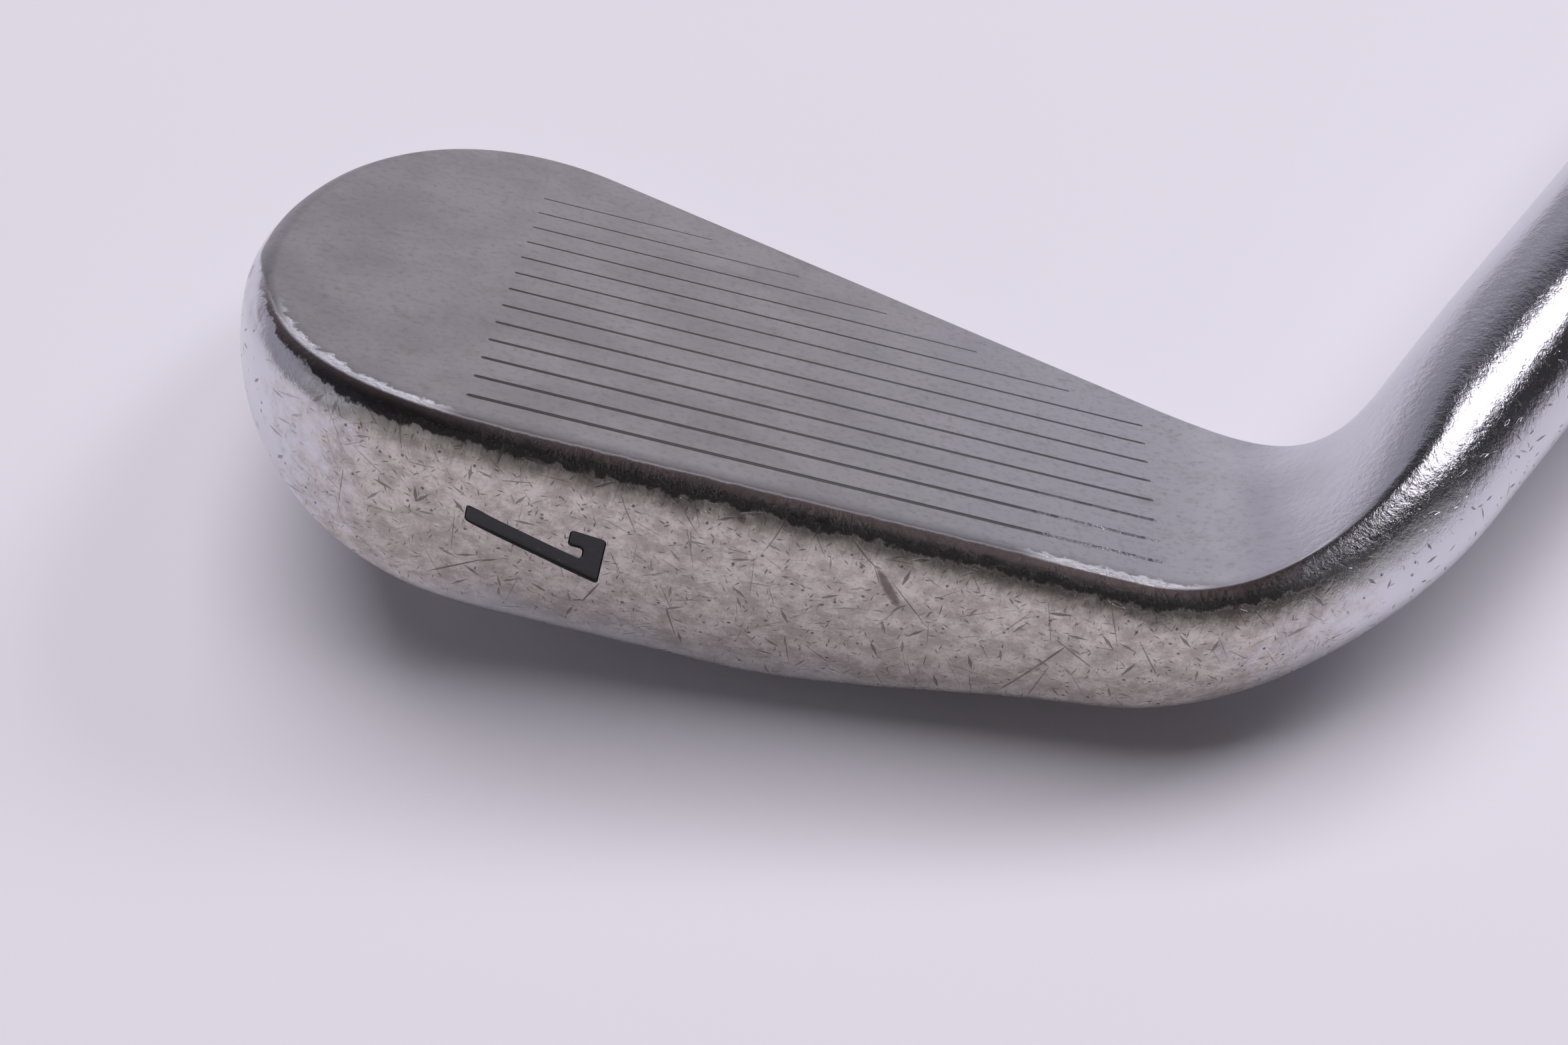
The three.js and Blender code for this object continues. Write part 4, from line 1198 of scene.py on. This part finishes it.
def mould_tread(tree, sleeve, given):
    """Bars laid out flat, round as x and along as y, then rolled up on the tapered sleeve."""
    index = tree.add("GeometryNodeInputIndex", {})
    row = (index / given["round"]).math("FLOOR")
    column = index - row * given["round"]
    odd = row.math("MODULO", 2.0)
    turn = (column + odd * 0.5) / given["round"] * (2 * math.pi)
    along = given["from"] + (given["to"] - given["from"]) * (row + 0.5) / given["rows"]
    points = tree.add("GeometryNodePoints", {}, Count=given["round"] * given["rows"],
                      Position=tree.combine(turn * given["mean radius"], along, 0.0))
    bar = tree.add("GeometryNodeMeshCone", {}, Vertices=4, Radius_Top=given["size"] * BAR_TOP,
                   Radius_Bottom=given["size"], Depth=given["height"])
    lean = tree.add("FunctionNodeEulerToRotation", {},
                    tree.combine(0.0, 0.0, (odd - 0.5) * given["lean"]))
    many = tree.add("GeometryNodeInstanceOnPoints", {}, Points=points, Instance=bar, Rotation=lean,
                    Scale=(BAR_STRETCH, 1.0, 1.0))
    flat = tree.add("GeometryNodeRealizeInstances", {}, Geometry=many)
    x, y, z = tree.add("GeometryNodeInputPosition", {}).axes()
    share = (y - given["grip from"]) / given["grip length"]
    growth = (given["butt radius"] - given["mouth radius"]) * share ** GRIP_TAPER
    radius = given["mouth radius"] + growth - given["height"] + z
    angle = x / given["mean radius"]
    rolled = tree.add("GeometryNodeSetPosition", {}, Geometry=flat, Position=tree.combine(
        radius * angle.math("SINE"), y, radius * angle.math("COSINE")))
    join = tree.nodes.new("GeometryNodeJoinGeometry")
    tree.links.new(rolled.out, join.inputs[0])
    tree.links.new(sleeve.out, join.inputs[0])
    return tree.add("GeometryNodeSetMaterial", {}, Geometry=Value(tree, join.outputs[0]))


def grip_rubber(name):
    look = Finish(name, shaft_frame, Specular_IOR_Level=0.35)
    dust = look.noise(look.at, 0.08, 5.0, 0.6)
    grain = look.noise(look.at, 3.0, 4.0, 0.7)
    smear = look.noise(look.at, 0.35, 4.0, 0.6)
    colour = look.mix(dust.rise(0.35, 0.75), (0.014, 0.014, 0.015), (0.040, 0.039, 0.038))
    colour = look.mix(smear.rise(0.55, 0.85) * 0.4, colour, (0.075, 0.072, 0.068))
    return look.done(colour, 0.62 + grain * 0.25, look.bump(grain, 0.05))


sleeve_object = new_object("grip_blank", turned(grip_profile(), sides=GRIP_SIDES))
sleeve_shape = grow("grip_tread", sleeve_object, {
    "rows": TREAD_ROWS, "round": TREAD_ROUND,
    "from": GRIP_FROM + TREAD_FROM, "to": GRIP_TO - TREAD_TO,
    "grip from": GRIP_FROM + GRIP_MOUTH, "grip length": GRIP_TO - GRIP_FROM - GRIP_ENDS,
    "height": TREAD_HEIGHT, "mouth radius": GRIP_MOUTH_RADIUS, "butt radius": BODY_BUTT_RADIUS,
    "size": BAR_SIZE, "mean radius": BAR_MEAN_RADIUS, "lean": BAR_LEAN}, mould_tread)
bpy.data.objects.remove(sleeve_object)
fit(sleeve_shape, "grip_sleeve", shaft_frame, grip_rubber("grip_rubber"), "grip")

# ---- grip cap ----
# The cap moulded on the butt end, with a raised rim, two rings and the vent hole that lets air
# out while the grip is slid on.
VENT_RADIUS = 1.0
CAP_FROM = CLUB_LENGTH - CAP_THICKNESS
CAP_WALL = 1.6              # the straight part of the cap's side; the rounded part is above it
CAP_ROUNDING_IN, CAP_ROUNDING_UP = 2.2, 2.4
CAP_RINGS = (9.6, 6.4)
CAP_RING_DEPTH = 0.35


def cap_profile():
    rows = [(VENT_RADIUS, CAP_FROM), (GRIP_BUTT_RADIUS - 0.3, CAP_FROM),
            (GRIP_BUTT_RADIUS, CAP_FROM + 0.3), (GRIP_BUTT_RADIUS, CAP_FROM + CAP_WALL)]
    for k in np.linspace(0.12, 1, 8):
        angle = k * math.pi / 2
        rows.append((GRIP_BUTT_RADIUS - CAP_ROUNDING_IN + CAP_ROUNDING_IN * math.cos(angle),
                     CAP_FROM + CAP_WALL + CAP_ROUNDING_UP * math.sin(angle)))
    top = CLUB_LENGTH
    groove = top - CAP_RING_DEPTH
    for ring in CAP_RINGS:
        rows += [(ring + 0.5, top), (ring + 0.3, groove), (ring - 0.3, groove), (ring - 0.5, top)]
    return rows + [(VENT_RADIUS + 0.25, top), (VENT_RADIUS, top - 0.25)]


fit(turned(cap_profile()), "cap_disc", shaft_frame, grip_rubber("cap_rubber"), "grip_cap")
